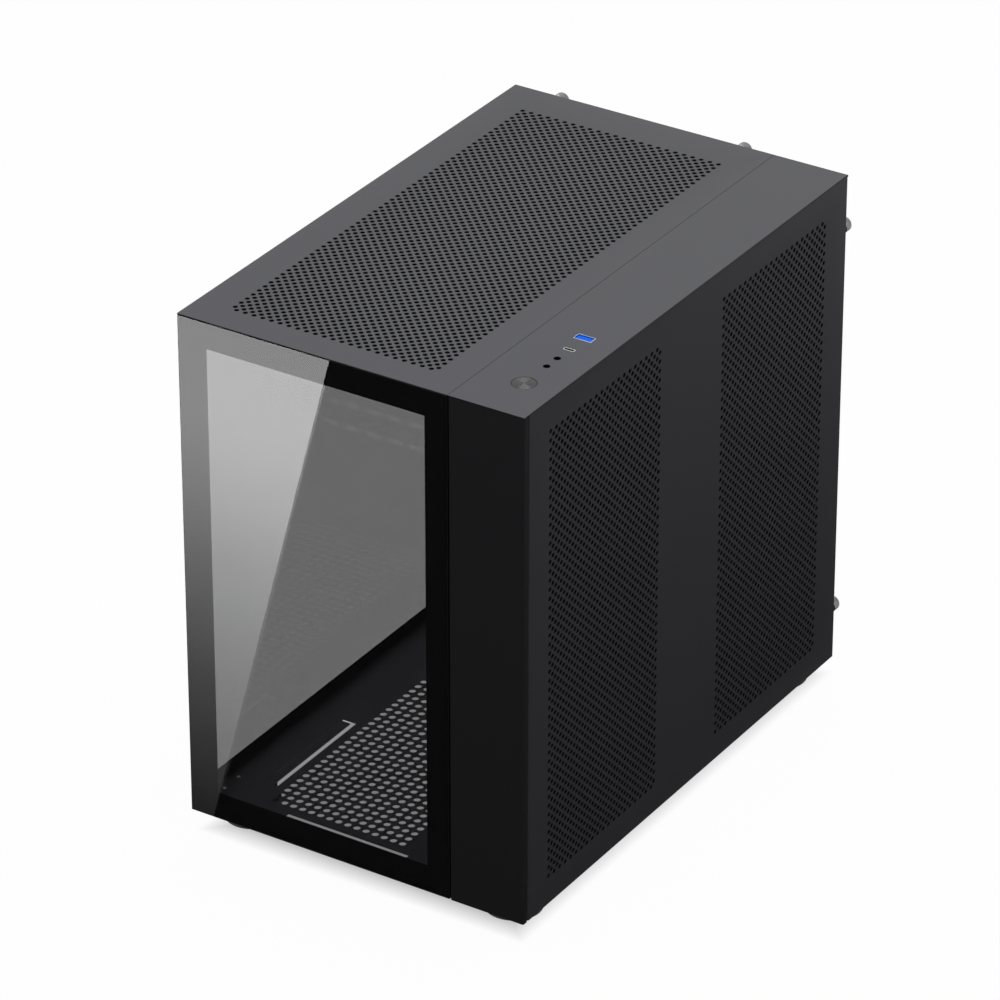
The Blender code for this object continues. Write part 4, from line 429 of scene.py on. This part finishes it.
def finish_sheet(piece, body, coat, outward, *nodes, thickness=sheet_thickness, slot="black_powder_coat"):
    """Give a folded blank its sheet thickness, its place in the case and its coat."""
    bm = bmesh.new()
    bm.from_mesh(piece.data)
    bmesh.ops.remove_doubles(bm, verts=bm.verts, dist=weld_distance)
    bmesh.ops.delete(bm, geom=[vertex for vertex in bm.verts if not vertex.link_faces], context="VERTS")
    largest = max(bm.faces, key=lambda face: face.calc_area())
    largest.normal_update()
    if largest.normal.dot(Vector(outward)) < 0:
        bmesh.ops.reverse_faces(bm, faces=bm.faces)
    bm.to_mesh(piece.data)
    bm.free()
    piece.data.transform(to_case)
    solid = piece.modifiers.new("sheet", "SOLIDIFY")
    solid.thickness = thickness * millimetre
    solid.offset = -1
    solid.use_even_offset = True
    mesh = as_mesh(piece)
    smooth_bends(mesh)
    mesh.materials.clear()
    mesh.materials.append(coat)
    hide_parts(*nodes)
    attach(piece, body)


left_flap = [(41, 47), (45, 47), (45, 151), (33, 151), (33, 50.4), (33.4, 50), (33.8, 50.4), (33.8, 148),
             (41, 148)]
front_flap = [(72.4, 7), (75, 7), (75, 17), (176.6, 17), (176.6, 21), (72.4, 21)]
# The same black powder made lighter and fully glossy: painted light on the floor of the chamber.
pan_coat_painted_light = powder_coat("black powder coat on the pan", (0.052, 0.052, 0.059), gloss=1.0)
pan = sheet_piece("base_pan_sheet", *blank(box_loop((pan_left, pan_front), (pan_right, pan_rear)),
                                           [left_flap, front_flap, field_loop(*floor_field)]))
punch(pan, pan_coat_painted_light, floor_field, floor_hole, floor_hole_sides)
pan_mesh = bmesh.new()
pan_mesh.from_mesh(pan.data)
bmesh.ops.translate(pan_mesh, verts=pan_mesh.verts, vec=(0, 0, floor_top))
hook_ys = (92, 338)
hook_slots = [box_loop((y - 0.6, 4.3), (y + 15.6, 6.7)) for y in hook_ys]
stud_hole = round_loop((29.6, 5.5), 2.3, 16)
pan_walls = (
    (pan_front, pan_rear, hook_slots, lambda v: (pan_right, v[0], v[1])),
    (pan_front, pan_rear, hook_slots, lambda v: (pan_left, v[0], v[1])),
    (pan_left, pan_right, [stud_hole], lambda v: (v[0], pan_front, v[1])),
    (pan_left, pan_right, [], lambda v: (v[0], pan_rear, v[1])))
for low, high, openings, upright in pan_walls:
    wall_points, wall_triangles = blank(box_loop((low, 0), (high, floor_top)), openings)
    wall_vertices = [pan_mesh.verts.new(upright(point)) for point in wall_points]
    for triangle in wall_triangles:
        pan_mesh.faces.new([wall_vertices[i] for i in triangle])
bmesh.ops.remove_doubles(pan_mesh, verts=pan_mesh.verts, dist=weld_distance)
bmesh.ops.recalc_face_normals(pan_mesh, faces=pan_mesh.faces)
pan_mesh.to_mesh(pan.data)
pan_mesh.free()
finish_sheet(pan, "case", pan_coat_painted_light, (0, 0, 1), "base_pan")

bright_metal = new_finish(
    "bright nickel", {"Metallic": 1.0},
    lambda place: {"Base Color": noise(place, 0.003).blend((0.8, 0.8, 0.79), (0.9, 0.9, 0.89)),
                   "Roughness": 0.22 + 0.12 * noise(place, 0.0012)})


def turned(name, profile, sides, ridges=0.0):
    """A turned shape round the Z axis, from a profile of radius and height, in millimetres.

    With ridges, every other side of the widest part stands back by that depth.
    """
    bm = bmesh.new()
    widest = max(radius for radius, _ in profile)
    rings = []
    for radius, height in profile:
        if radius == 0:
            rings.append([bm.verts.new((0, 0, height))])
            continue
        ring = []
        for side in range(sides):
            reach = radius - (ridges if side % 2 and radius > widest - 0.2 else 0)
            angle = 2 * math.pi * side / sides
            ring.append(bm.verts.new((reach * math.cos(angle), reach * math.sin(angle), height)))
        rings.append(ring)
    for upper, lower in zip(rings, rings[1:]):
        for side in range(sides if len(upper) + len(lower) > 2 else 0):
            after = (side + 1) % sides
            if len(upper) == 1:
                bm.faces.new((upper[0], lower[side], lower[after]))
            elif len(lower) == 1:
                bm.faces.new((upper[side], lower[0], upper[after]))
            else:
                bm.faces.new((upper[side], lower[side], lower[after], upper[after]))
    bmesh.ops.remove_doubles(bm, verts=bm.verts, dist=0.001)
    bmesh.ops.recalc_face_normals(bm, faces=bm.faces)
    mesh = bpy.data.meshes.new(name)
    bm.to_mesh(mesh)
    bm.free()
    return mesh


def setting_out_tree():
    """Geometry nodes that set a part out on the points of a mesh, turned and scaled alike."""
    tree, inputs, end = node_group("set out on places", (
        ("Places", "Geometry"), ("Part", "Object"), ("Turn", "Rotation"), ("Size", "Float"),
        ("Finish", "Material")), "Parts")
    info = tree.nodes.new("GeometryNodeObjectInfo")
    copies = tree.nodes.new("GeometryNodeInstanceOnPoints")
    real = tree.nodes.new("GeometryNodeRealizeInstances")
    coat = tree.nodes.new("GeometryNodeSetMaterial")
    for here, there in ((inputs["Part"], info.inputs["Object"]), (inputs["Places"], copies.inputs["Points"]),
                        (info.outputs["Geometry"], copies.inputs["Instance"]),
                        (inputs["Turn"], copies.inputs["Rotation"]), (inputs["Size"], copies.inputs["Scale"]),
                        (copies.outputs[0], real.inputs[0]), (real.outputs[0], coat.inputs["Geometry"]),
                        (inputs["Finish"], coat.inputs["Material"]), (coat.outputs[0], end)):
        tree.links.new(here, there)
    return tree


set_out = setting_out_tree()


def repeated(name, part, places, coat, body, nodes=(), turn=(0, 0, 0), smooth=40):
    """One piece made of like parts, set out on places of the case in millimetres."""
    pattern = add_object(name + "_part", part)
    points = bpy.data.meshes.new(name)
    points.from_pydata([case_corner + Vector(place) * millimetre for place in places], [], [])
    piece = add_object(name, points)
    mesh = run_nodes(piece, set_out, {"Part": pattern, "Turn": turn, "Size": millimetre, "Finish": coat})
    smooth_bends(mesh, smooth)
    bpy.data.objects.remove(pattern)
    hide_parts(*nodes)
    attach(piece, body)


pan_screw = turned("pan screw", [(0, 0.3), (0.4, 0.35), (0.6, 0.8), (1.0, 0.75), (1.4, 0.5), (1.6, 0.1),
                                 (1.6, -0.3), (0, -0.3)], 24)
repeated("floor_screws", pan_screw, [(14, 24, floor_top), (14, 42, floor_top)], bright_metal, "case")

# Feet
# Four round ABS feet are screwed under the pan, each with a soft rubber pad pressed into its foot,
# so that the case stands clear of the desk and draws air through its floor.

foot_corners = ("front_left", "front_right", "rear_left", "rear_right")
foot_places = [(26, 41, 0), (251, 41, 0), (26, 417, 0), (251, 417, 0)]
foot = turned("foot", [(0, 9.7), (19, 9.7), (19, -1), (21.2, -1), (21.8, -1.3), (22, -1.9), (22, -16),
                       (21.7, -16.7), (21, -17), (18.8, -17), (18.8, -13.7), (0, -13.7)], 64)
repeated("feet", foot, foot_places, moulded_plastic, "case",
         [f"foot_{corner}" for corner in foot_corners])
foot_pad = turned("foot pad", [(0, -14), (18.5, -14), (18.5, -17.3), (18.2, -17.8), (17.7, -18), (13, -18),
                               (12.6, -17.5), (11.6, -17.5), (11.2, -18), (0, -18)], 48)
repeated("foot_pads", foot_pad, foot_places, black_rubber, "case",
         [f"foot_pad_{corner}" for corner in foot_corners])

# Front and left glass
# Two panes of 4 mm tempered glass, tinted grey, with ground and blackened edges. A black border is
# printed and fired on the inner face of each, and hides the steel rim that is glued behind it.


def tinted_glass(name, tint, index):
    return new_finish(name, {"Roughness": 0.0, "IOR": index, "Transmission Weight": 1.0},
                      lambda place: {"Base Color": noise(place, 0.3).blend([c * 0.99 for c in tint], tint)})


black_print = new_finish(
    "black fired print", {"IOR": 1.5, "Specular IOR Level": 0.2},
    lambda place: {"Base Color": noise(place, 0.002).blend((0.0035, 0.0035, 0.0036), (0.0045, 0.0045, 0.0046)),
                   "Roughness": 0.5 + 0.1 * noise(place, 0.003)})
glass_thickness, ground_edge = 4, 0.5
window_foot, window_head = 20.8, 383.2


def pane(name, glass, low, high, window_low, window_high, inner_axis, body, node):
    """A pane with ground edges, and its printed border on the inner face."""
    bm = bmesh.new()
    low, high = Vector(low), Vector(high)
    middle = (low + high) / 2
    bmesh.ops.create_cube(bm, size=1, matrix=Matrix.Translation(middle) @ Matrix.Diagonal((*(high - low), 1)))
    bmesh.ops.bevel(bm, geom=bm.edges, offset=ground_edge, segments=2, affect="EDGES", profile=0.5)
    bm.normal_update()
    inner = max(bm.faces, key=lambda face: (face.normal[inner_axis] > 0.99) * face.calc_area())
    corners = list(inner.verts)
    first, second = [axis for axis in range(3) if axis != inner_axis]
    opening = []
    for corner in corners:
        place = corner.co.copy()
        for axis, index in ((first, 0), (second, 1)):
            place[axis] = window_high[index] if place[axis] > middle[axis] else window_low[index]
        opening.append(bm.verts.new(place))
    bm.faces.remove(inner)
    for index in range(4):
        after = (index + 1) % 4
        bm.faces.new((corners[index], corners[after], opening[after], opening[index]))
    window = bm.faces.new(opening)
    bmesh.ops.recalc_face_normals(bm, faces=bm.faces)
    for face in bm.faces:
        clear = face == window or face.normal[inner_axis] < -0.99
        face.material_index = 0 if clear else 1
    mesh = bpy.data.meshes.new(name)
    bm.to_mesh(mesh)
    bm.free()
    mesh.transform(to_case)
    mesh.materials.append(glass)
    mesh.materials.append(black_print)
    piece = add_object(name, mesh)
    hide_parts(node)
    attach(piece, body)


pane("front_pane", tinted_glass("tinted front glass", (0.435, 0.435, 0.437), index=1.5),
     (0, 0, 0), (223.2, glass_thickness, 405.2), (22.8, window_foot), (203.2, window_head), 1, "case",
     "front_glass")
pane("left_pane", tinted_glass("tinted side glass", (0.37, 0.37, 0.372), index=1.2),
     (0, 4.3, 0), (glass_thickness, 440, 403.8), (25.3, window_foot), (419, window_head), 0, "left_door",
     "left_glass")

# Dark strip at the right of the front, black and further darkened as painted shade
# A folded steel strip closes the front beside the glass. It is pegged to the pillar, and its
# corners are bent to a small radius.

panel_coat = powder_coat("black powder coat on the covers", (0.025, 0.025, 0.0272), gloss=0.58)


def folding(corners, radius, main, axis):
    """Stations of a folded profile: how far along the blank each lies, and where it ends up.

    The straight numbered main keeps the case's own measure along its axis.
    """
    bend_steps = 5
    corners = [Vector(corner) for corner in corners]
    stations, length, main_at = [(0.0, corners[0])], 0.0, 0
    for index in range(1, len(corners) - 1):
        before = (corners[index] - corners[index - 1]).normalized()
        after = (corners[index + 1] - corners[index]).normalized()
        centre = corners[index] + radius * (after - before)
        for step in range(bend_steps + 1):
            angle = math.pi / 2 * step / bend_steps
            point = centre + radius * (before * math.sin(angle) - after * math.cos(angle))
            length += (point - stations[-1][1]).length
            if (point - stations[-1][1]).length > 1e-6:
                stations.append((length, point))
        if index == main:
            main_at = len(stations) - 1
    stations.append((length + (corners[-1] - stations[-1][1]).length, corners[-1]))
    shift = stations[main_at][1][axis] - stations[main_at][0]
    return [(length + shift, point) for length, point in stations]


def folded_at(stations, length):
    """Where a length along the blank ends up in the folded profile."""
    for (start, here), (stop, there) in zip(stations, stations[1:]):
        if length <= stop + 1e-6:
            return here + (there - here) * ((length - start) / (stop - start))
    return stations[-1][1]


def bend_lines(stations, low, high):
    """The lines of the blank's bends, which run a little past its edges."""
    return [((length, low), (length, high)) for length, _ in stations[1:-1]]


sheet_top = 405.1
strip_thickness, strip_bend = 1.2, 1.3
# The same black powder made darker and less glossy: painted shade for the strip's shaded front face.
strip_coat_painted_shade = powder_coat("black powder coat on the strip", (0.009, 0.009, 0.0092), gloss=0.35)
strip_profile = folding([(223.8, 4.6), (223.8, 0), (285, 0), (285, 4.6)], strip_bend, 1, 0)
strip_start, strip_end = strip_profile[0][0], strip_profile[-1][0]
strip = sheet_piece("front_strip", *blank(box_loop((strip_start, 0), (strip_end, sheet_top)), [],
                                          bend_lines(strip_profile, -1, 406)))
fold(strip, lambda v: Vector((*folded_at(strip_profile, v.x), v.y)))
finish_sheet(strip, "case", strip_coat_painted_shade, (0, -1, 0), "front_trim", thickness=strip_thickness)

# Right panel
# One sheet with two punched fields and a plain band between them. Its front and rear edges are
# folded in, it hooks into the frame and slides to the rear, and two thumbscrews hold it.

side_columns, side_rows, side_step, side_step_up = 40, 99, 3.67, 3.65
side_fields = [((along, 23.05), side_columns, side_rows, side_step, side_step_up, 1)
               for along in (33.5, 264.05)]
fine_hole, fine_hole_sides = 3.88, 8
screw_hole, screw_hole_sides = 2.1, 16
screw_low, screw_high = 41, 361
cover_thickness, cover_bend = 0.5, 1.5
panel_flange_x, panel_screw_x, supply_x = 273, 278.8, 277.4
flange_foot, flange_head = 11.6, 386.4
supply_foot, supply_head = 47.5, 187.5
panel_profile = folding([(277, 6.2), (285, 6.2), (285, 440), (panel_flange_x, 440)], cover_bend, 1, 1)
panel_start, panel_end = panel_profile[0][0], panel_profile[-1][0]
front_bend = panel_profile[1][0] - 0.2
supply_edge = panel_end - (supply_x - panel_flange_x)
screw_at = panel_end - (panel_screw_x - panel_flange_x)
panel_outline = [(panel_start, flange_foot), (front_bend, flange_foot), (front_bend, 0), (panel_end, 0),
                 (panel_end, supply_foot), (supply_edge, supply_foot), (supply_edge, supply_head),
                 (panel_end, supply_head), (panel_end, sheet_top), (front_bend, sheet_top),
                 (front_bend, flange_head), (panel_start, flange_head)]
panel_openings = [field_loop(*field) for field in side_fields]
panel_openings += [round_loop((screw_at, z), screw_hole, screw_hole_sides) for z in (screw_low, screw_high)]
panel = sheet_piece("right_panel_sheet", *blank(panel_outline, panel_openings,
                                                bend_lines(panel_profile, -1, 406)))
for field in side_fields:
    punch(panel, panel_coat, field, fine_hole, fine_hole_sides)
fold(panel, lambda v: Vector((*folded_at(panel_profile, v.x), v.y)))
finish_sheet(panel, "right_panel", panel_coat, (1, 0, 0), "right_panel", thickness=cover_thickness)

# Top covers
# A punched cover lies over the glass chamber and a plain one over the narrow chamber, with a fine
# seam between them. Both are bent down at the rear, and the punched one slides off to the rear.

top_columns, top_rows, top_step = 47, 104, 3.663
top_field = ((28.8, 25.95), top_columns, top_rows, top_step, top_step, 1)
body_top, body_rear = 406, 440
cover_foot, corner_head = 392, 404.1
cover_screw_xs, cover_screw_z = (36, 194), 399.1
cover_right, door_corner = 223.3, 14.6
plain_left, plain_right, panel_corner = 223.6, 285, 272.7
cover_profile = folding([(0, body_top), (body_rear, body_top), (body_rear, cover_foot)], cover_bend, 0, 0)
cover_end = cover_profile[-1][0]
corner_at = cover_end - (corner_head - cover_foot)
cover_screw_at = cover_end - (cover_screw_z - cover_foot)


def cover_fold(v):
    """A cover's blank has X across the case and Y along its profile."""
    along, height = folded_at(cover_profile, v.y)
    return Vector((v.x, along, height))


def across(lines):
    """Lines of a profile that runs along Y instead of X."""
    return [((y1, x1), (y2, x2)) for (x1, y1), (x2, y2) in lines]


cover_outline = [(0, 0), (cover_right, 0), (cover_right, cover_end), (door_corner, cover_end),
                 (door_corner, corner_at), (0, corner_at)]
cover = sheet_piece("top_cover_sheet", *blank(
    cover_outline,
    [field_loop(*top_field),
     *(round_loop((x, cover_screw_at), screw_hole, screw_hole_sides) for x in cover_screw_xs)],
    across(bend_lines(cover_profile, -1, 225))))
punch(cover, panel_coat, top_field, fine_hole, fine_hole_sides, shift=1)
fold(cover, cover_fold)
finish_sheet(cover, "top_cover", panel_coat, (0, 0, 1), "top_cover", thickness=cover_thickness)

port_x = 258.0
button_y, jack_ys, usb_c_y, usb_a_y = 42.3, (71.1, 84.7), 100.3, 120.3


def socket_loop(y, half_length, half_width, radius=None):
    """The outline of a socket that lies across the line of ports."""
    return slot_loop((port_x - half_length, y - half_width), (port_x + half_length, y + half_width), radius)


plain_outline = [(plain_left, 0), (plain_right, 0), (plain_right, corner_at), (panel_corner, corner_at),
                 (panel_corner, cover_end), (plain_left, cover_end)]
plain = sheet_piece("plain_cover_sheet", *blank(
    plain_outline,
    [round_loop((port_x, button_y), 9.15, 64), *(round_loop((port_x, y), 2.7, 32) for y in jack_ys),
     socket_loop(usb_c_y, 4.9, 2.0), socket_loop(usb_a_y, 7.3, 3.9, 0.6)],
    across(bend_lines(cover_profile, 222, 286))))
fold(plain, cover_fold)
finish_sheet(plain, "case", panel_coat, (0, 0, 1), "port_cover", thickness=cover_thickness)

# Dust meshes
# A fine black nylon mesh is glued behind every punched field. Its near-black, almost glossless
# colour is painted shade, so that its holes look black. Each mesh is thin enough to slide clear of
# the frame with its cover.

mesh_x, mesh_z, mesh_thickness = 284.45, 405.45, 0.3
# Near black and almost without gloss: painted shade behind the holes.
painted_shade_nylon = new_finish(
    "black nylon mesh", {"IOR": 1.45, "Specular IOR Level": 0.04, "Roughness": 0.95},
    lambda place: {"Base Color": noise(place, 0.0007).blend((0.0008, 0.0008, 0.0008), (0.002, 0.002, 0.002)),
                   "Normal": noise(place, 0.0004).relief(0.0001, 0.8)})


def dust_mesh(name, field, place_in_case, body, outward):
    """Mesh behind one punched field, a little larger all round."""
    first, columns, rows, step = field[:4]
    low = (first[0] - 1.3 * step, first[1] - 1.3 * step)
    high = (first[0] + (columns + 0.3) * step, first[1] + (rows + 0.3) * step)
    cloth = sheet_piece(name, *blank(slot_loop(low, high, radius=3), []))
    fold(cloth, place_in_case)
    finish_sheet(cloth, body, painted_shade_nylon, outward, thickness=mesh_thickness, slot="black_plastic")


for name, field in zip(("side_dust_mesh_front", "side_dust_mesh_rear"), side_fields):
    dust_mesh(name, field, lambda v: Vector((mesh_x, v.x, v.y)), "right_panel", (1, 0, 0))
dust_mesh("top_dust_mesh", top_field, lambda v: Vector((v.x, v.y, mesh_z)), "top_cover", (0, 0, 1))

# Power button
# A turned metal cap, 18 mm across, whose face is cut with fine concentric grooves, so that light
# runs across it in two soft lobes. It stands level with the cover and is pressed down.


def button_look():
    """Fine concentric grooves round the button's own axis."""
    groove_pitch, groove_flatness = 0.00025, 1.7

    def varied(place):
        centre = case_corner + Vector((port_x, button_y, 0)) * millimetre
        own = place.node("ShaderNodeMapping", {"vector_type": "POINT"},
                         {"Vector": place, "Location": (-centre.x, -centre.y, 0)})
        x, y = own.x_and_y()
        radius = (x * x + y * y).math("SQRT")
        wave = (radius * (2 * math.pi / groove_pitch)).math("SINE")
        lean = wave.math("DIVIDE", radius * groove_flatness)
        groove = own.node("ShaderNodeCombineXYZ", {}, {"X": x * lean, "Y": y * lean, "Z": 0.0})
        level = own.node("ShaderNodeNewGeometry", output=1)
        leaning = level.node("ShaderNodeVectorMath", {"operation": "ADD"}, {0: level, 1: groove})
        return {"Base Color": noise(own, 0.003).blend((0.038, 0.038, 0.04), (0.05, 0.05, 0.053)),
                "Roughness": 0.15 + 0.05 * noise(own, 0.0006),
                "Normal": leaning.node("ShaderNodeVectorMath", {"operation": "NORMALIZE"}, {0: leaning})}
    return new_finish("grooved button metal", {"Metallic": 1.0}, varied)


button_profile = [(0, 0), (8.5, 0), (8.85, -0.12), (9, -0.4), (9, -1.3), (10.4, -1.3), (10.4, -2.3),
                  (2.5, -2.3), (2.5, -7.8), (0, -7.8)]
repeated("button_cap", turned("button", button_profile, 96), [(port_x, button_y, body_top)], button_look(),
         "power_button", ["power_button"])

# Sockets beside the button
# Two round jacks with a coned mouth, in the near-black nylon of the dust meshes, which paints the
# shade in their mouths, and two flat plated shells with their tongues. They stand in the moulding
# under the cover, level with its face.

jack = turned("jack", [(1.75, -2.5), (2.5, -0.75), (2.65, -0.6), (2.8, -0.75), (2.8, -14.3), (0, -14.3),
                       (0, -11.1), (1.75, -11.1), (1.75, -2.5)], 32)
repeated("jacks", jack, [(port_x, y, body_top) for y in jack_ys], painted_shade_nylon, "case",
         ["audio_jack_front", "audio_jack_rear"])
shell_mouth, shell_floor, shell_foot = 405.9, 394.9, 391.7


def shell(name, loop, bore, node):
    """A drawn metal shell with rounded corners, closed at its foot."""
    bm = bmesh.new()
    rings = []
    for outline, heights in ((loop, (shell_foot, shell_mouth)), (bore, (shell_mouth, shell_floor))):
        for height in heights:
            rings.append([bm.verts.new((x, y, height)) for x, y in outline])
    for one, two in zip(rings, rings[1:]):
        for side in range(len(one)):
            after = (side + 1) % len(one)
            bm.faces.new((one[side], one[after], two[after], two[side]))
    bm.faces.new(rings[0])
    bm.faces.new(rings[-1])
    bmesh.ops.recalc_face_normals(bm, faces=bm.faces)
    mesh = bpy.data.meshes.new(name)
    bm.to_mesh(mesh)
    bm.free()
    mesh.transform(to_case)
    smooth_bends(mesh)
    mesh.materials.append(bright_metal)
    piece = add_object(name, mesh)
    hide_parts(node)
    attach(piece, "case")


shell("usb_c_plated_shell", socket_loop(usb_c_y, 4.6, 1.7), socket_loop(usb_c_y, 4.2, 1.3), "usb_c_shell")
shell("usb_a_plated_shell", socket_loop(usb_a_y, 7.1, 3.7, 0.5), socket_loop(usb_a_y, 6.75, 3.35, 0.3),
      "usb_a_shell")
blue_plastic = new_finish(
    "blue plastic", {"IOR": 1.46, "Specular IOR Level": 0.1},
    lambda place: {"Base Color": noise(place, 0.002).blend((0.0, 0.1, 0.66), (0.0, 0.12, 0.75)),
                   "Roughness": 0.4 + 0.1 * noise(place, 0.001)})
tongue_face, tongue_depth = 405.2, 10
tongue = sheet_piece("usb_a_blue_tongue", *blank(socket_loop(usb_a_y, 6.2, 2.6, 0.5), []))
fold(tongue, lambda v: Vector((v.x, v.y, tongue_face)))
finish_sheet(tongue, "case", blue_plastic, (0, 0, 1), "usb_a_tongue", thickness=tongue_depth,
             slot="blue_plastic")
give_finish(moulded_plastic, "usb_c_tongue")

# Thumbscrews
# Six knurled screws hold the sliding cover, the right panel and the glass door at the rear. Each
# head is turned from steel, knurled, dished at its face and plated dark.

dark_plating = new_finish(
    "dark nickel plating", {"Metallic": 1.0},
    lambda place: {"Base Color": noise(place, 0.003).blend((0.2, 0.2, 0.2), (0.3, 0.3, 0.295)),
                   "Roughness": 0.28 + 0.14 * noise(place, 0.0012)})
thumbscrew = turned("thumbscrew", [(0, 8.2), (2.2, 8.2), (2.5, 9.0), (5.0, 9.0), (5.75, 8.3), (5.8, 8.1),
                                   (5.8, 1.9), (5.7, 1.7), (5.2, 1.4), (3.6, 1.4), (3.6, 0.3), (1.75, 0.3),
                                   (1.75, -6.2), (0, -6.2)], 72, ridges=0.35)
door_screw_x = 10.6
for name, places, ends, body in (
        ("cover_thumbscrew", [(x, body_rear, cover_screw_z) for x in cover_screw_xs], ("left", "right"),
         "top_cover"),
        ("panel_thumbscrew", [(panel_screw_x, body_rear, z) for z in (screw_high, screw_low)],
         ("upper", "lower"), "right_panel"),
        ("door_thumbscrew", [(door_screw_x, body_rear, z) for z in (screw_high, screw_low)],
         ("upper", "lower"), "left_door")):
    repeated(name + "s", thumbscrew, places, dark_plating, body,
             [f"{name}_{end}" for end in ends], turn=(-math.pi / 2, 0, 0), smooth=35)

# Studio
# The case stands on a white floor under one broad soft light. A black card lies in front and at
# the right and is seen only in reflections. It paints dark reflections there, its glowing corner
# paints the sheen reflected in the front glass, and a faint glow to the rear paints a lighter
# reflection on the right panel.


def ray_kinds(tree):
    """What kind of ray meets a surface, by the light path's own names."""
    return {output.name: Value(output) for output in tree.nodes.new("ShaderNodeLightPath").outputs}


def shown(ray):
    """1 for a ray that draws the picture: straight, mirrored or through glass."""
    mirrored = ray["Is Camera Ray"].math("MAXIMUM", ray["Is Glossy Ray"])
    return mirrored.math("MAXIMUM", ray["Is Transmission Ray"])


fill_light = 0.3
studio = bpy.data.worlds.new("studio")
bpy.context.scene.world = studio
studio.use_nodes = True
sky = studio.node_tree.nodes["Background"]
sky.inputs["Color"].default_value = (1, 1, 1, 1)
sky_strength = shown(ray_kinds(studio.node_tree)) * (1 - fill_light) + fill_light
studio.node_tree.links.new(sky_strength.socket, sky.inputs["Strength"])


def stage_sheet(name, boxes, height, surface):
    """A level sheet on the stage, whose surface is made from the kind of ray and the place."""
    points, faces = [], []
    for low, high in boxes:
        faces.append(tuple(range(len(points), len(points) + 4)))
        points += [(*corner, height) for corner in box_loop(low, high)]
    piece = sheet_piece(name, points, faces)
    look = bpy.data.materials.new(name)
    look.use_nodes = True
    tree = look.node_tree
    tree.nodes.remove(tree.nodes["Principled BSDF"])
    place = Value(tree.nodes.new("ShaderNodeTexCoord").outputs["Object"])
    tree.links.new(surface(ray_kinds(tree), place).socket, tree.nodes["Material Output"].inputs["Surface"])
    piece.data.materials.append(look)
    return look


def paper(ray, place):
    """White paper, which glows evenly in the open. By the case its glow is cut to half as painted shade, over
    lit paper that keeps its own shadow.
    """
    painted_shade_reach, case_depth_over_width, fade = 0.2, 0.082, 0.022
    east, north = place.x_and_y()
    reach = (east.math("ABSOLUTE") + case_depth_over_width).math("MAXIMUM", north.math("ABSOLUTE"))
    # Painted shade: the glow falls from 0.97 in the open to 0.47 over the case's footprint.
    outside_painted_shade = (reach - painted_shade_reach) * (1 / fade)
    share = shown(ray) * (outside_painted_shade.node("ShaderNodeClamp", {}, {"Value": outside_painted_shade}) * 0.5 + 0.47)
    sheet = share.node("ShaderNodeBsdfDiffuse", {}, {"Color": (0.8, 0.8, 0.8, 1)})
    glow = share.node("ShaderNodeEmission", {}, {"Color": (1, 1, 1, 1), "Strength": 1.0})
    return share.node("ShaderNodeMixShader", {}, {0: share, 1: sheet, 2: glow})


def painted_reflection_card(ray, place):
    """Painted reflection: a black card whose glowing corner paints the sheen, clear to any ray that no surface
    has mirrored.
    """
    edge_x, edge_y, sheen_start, sheen_length = -0.1488, -0.2663, -0.2245, 0.6
    painted_sheen_strength, painted_card_strength = 4.95, 0.03
    east, north = place.x_and_y()
    # Painted sheen: the side of the edge line where the card's corner glows.
    painted_sheen_side = ((north - edge_y) * 0.456 - (east - edge_x) * 0.890) > 0.0
    away = (sheen_start - north) * (1 / sheen_length)
    painted_sheen_ramp = away.ramp([(0.05, 0.05), (0.18, 0.124), (0.307, 0.22), (0.433, 0.37), (0.56, 0.54), (0.687, 0.766),
                       (0.8, 0.93), (0.88, 1.0)])
    beyond = (0.5 * east + 0.85 * north + 0.12) * 0.8
    # Painted reflection: a faint glow towards the rear that lightens the right panel's reflection.
    painted_rear_reflection = beyond.ramp([(0.3, 0.0), (0.6, 0.03), (0.85, 0.16), (1.0, 0.42)])
    mirror = (ray["Glossy Depth"] > 0.5) * (1 - ray["Is Diffuse Ray"])
    sharp = mirror * ray["Is Singular Ray"]
    # All of this light is painted reflection: the sheen, the dark card and the rear glow.
    light = sharp * (painted_sheen_side * painted_sheen_ramp * painted_sheen_strength + painted_card_strength) + (1 - sharp) * painted_rear_reflection
    brightest = painted_sheen_strength + painted_card_strength
    black = place.node("ShaderNodeEmission", {}, {"Strength": 0.0})
    bright = place.node("ShaderNodeEmission", {}, {"Color": (0.99, 0.99, 1, 1), "Strength": brightest})
    face = light.node("ShaderNodeMixShader", {}, {0: light * (1 / brightest), 1: black, 2: bright})
    clear = place.node("ShaderNodeBsdfTransparent", {}, {"Color": (1, 1, 1, 1)})
    return mirror.node("ShaderNodeMixShader", {}, {0: mirror, 1: clear, 2: face})


stage_sheet("white_floor", [((-9, -9), (9, 9))], 0.0, paper)
painted_reflection_boxes = [((-3.0, -3.2), (2.6, -0.2265)), ((0.145, -0.2265), (2.6, 2.4))]
# The card is no lamp: its glow is painted reflection, seen only in mirrored rays.
painted_reflection_look = stage_sheet("dark_card", painted_reflection_boxes, 0.0015, painted_reflection_card)
painted_reflection_look.cycles.emission_sampling = "NONE"

lamp = bpy.data.lights.new("overhead_light", "AREA")
lamp.size, lamp.energy = 2.2, 54
overhead = add_object("overhead_light", lamp)
overhead.location = (0.1, 0.1, 2.6)
overhead.rotation_euler = (overhead.location - Vector((0, 0, 0.2))).to_track_quat("Z", "Y").to_euler()
bpy.context.scene.view_settings.view_transform = "Standard"
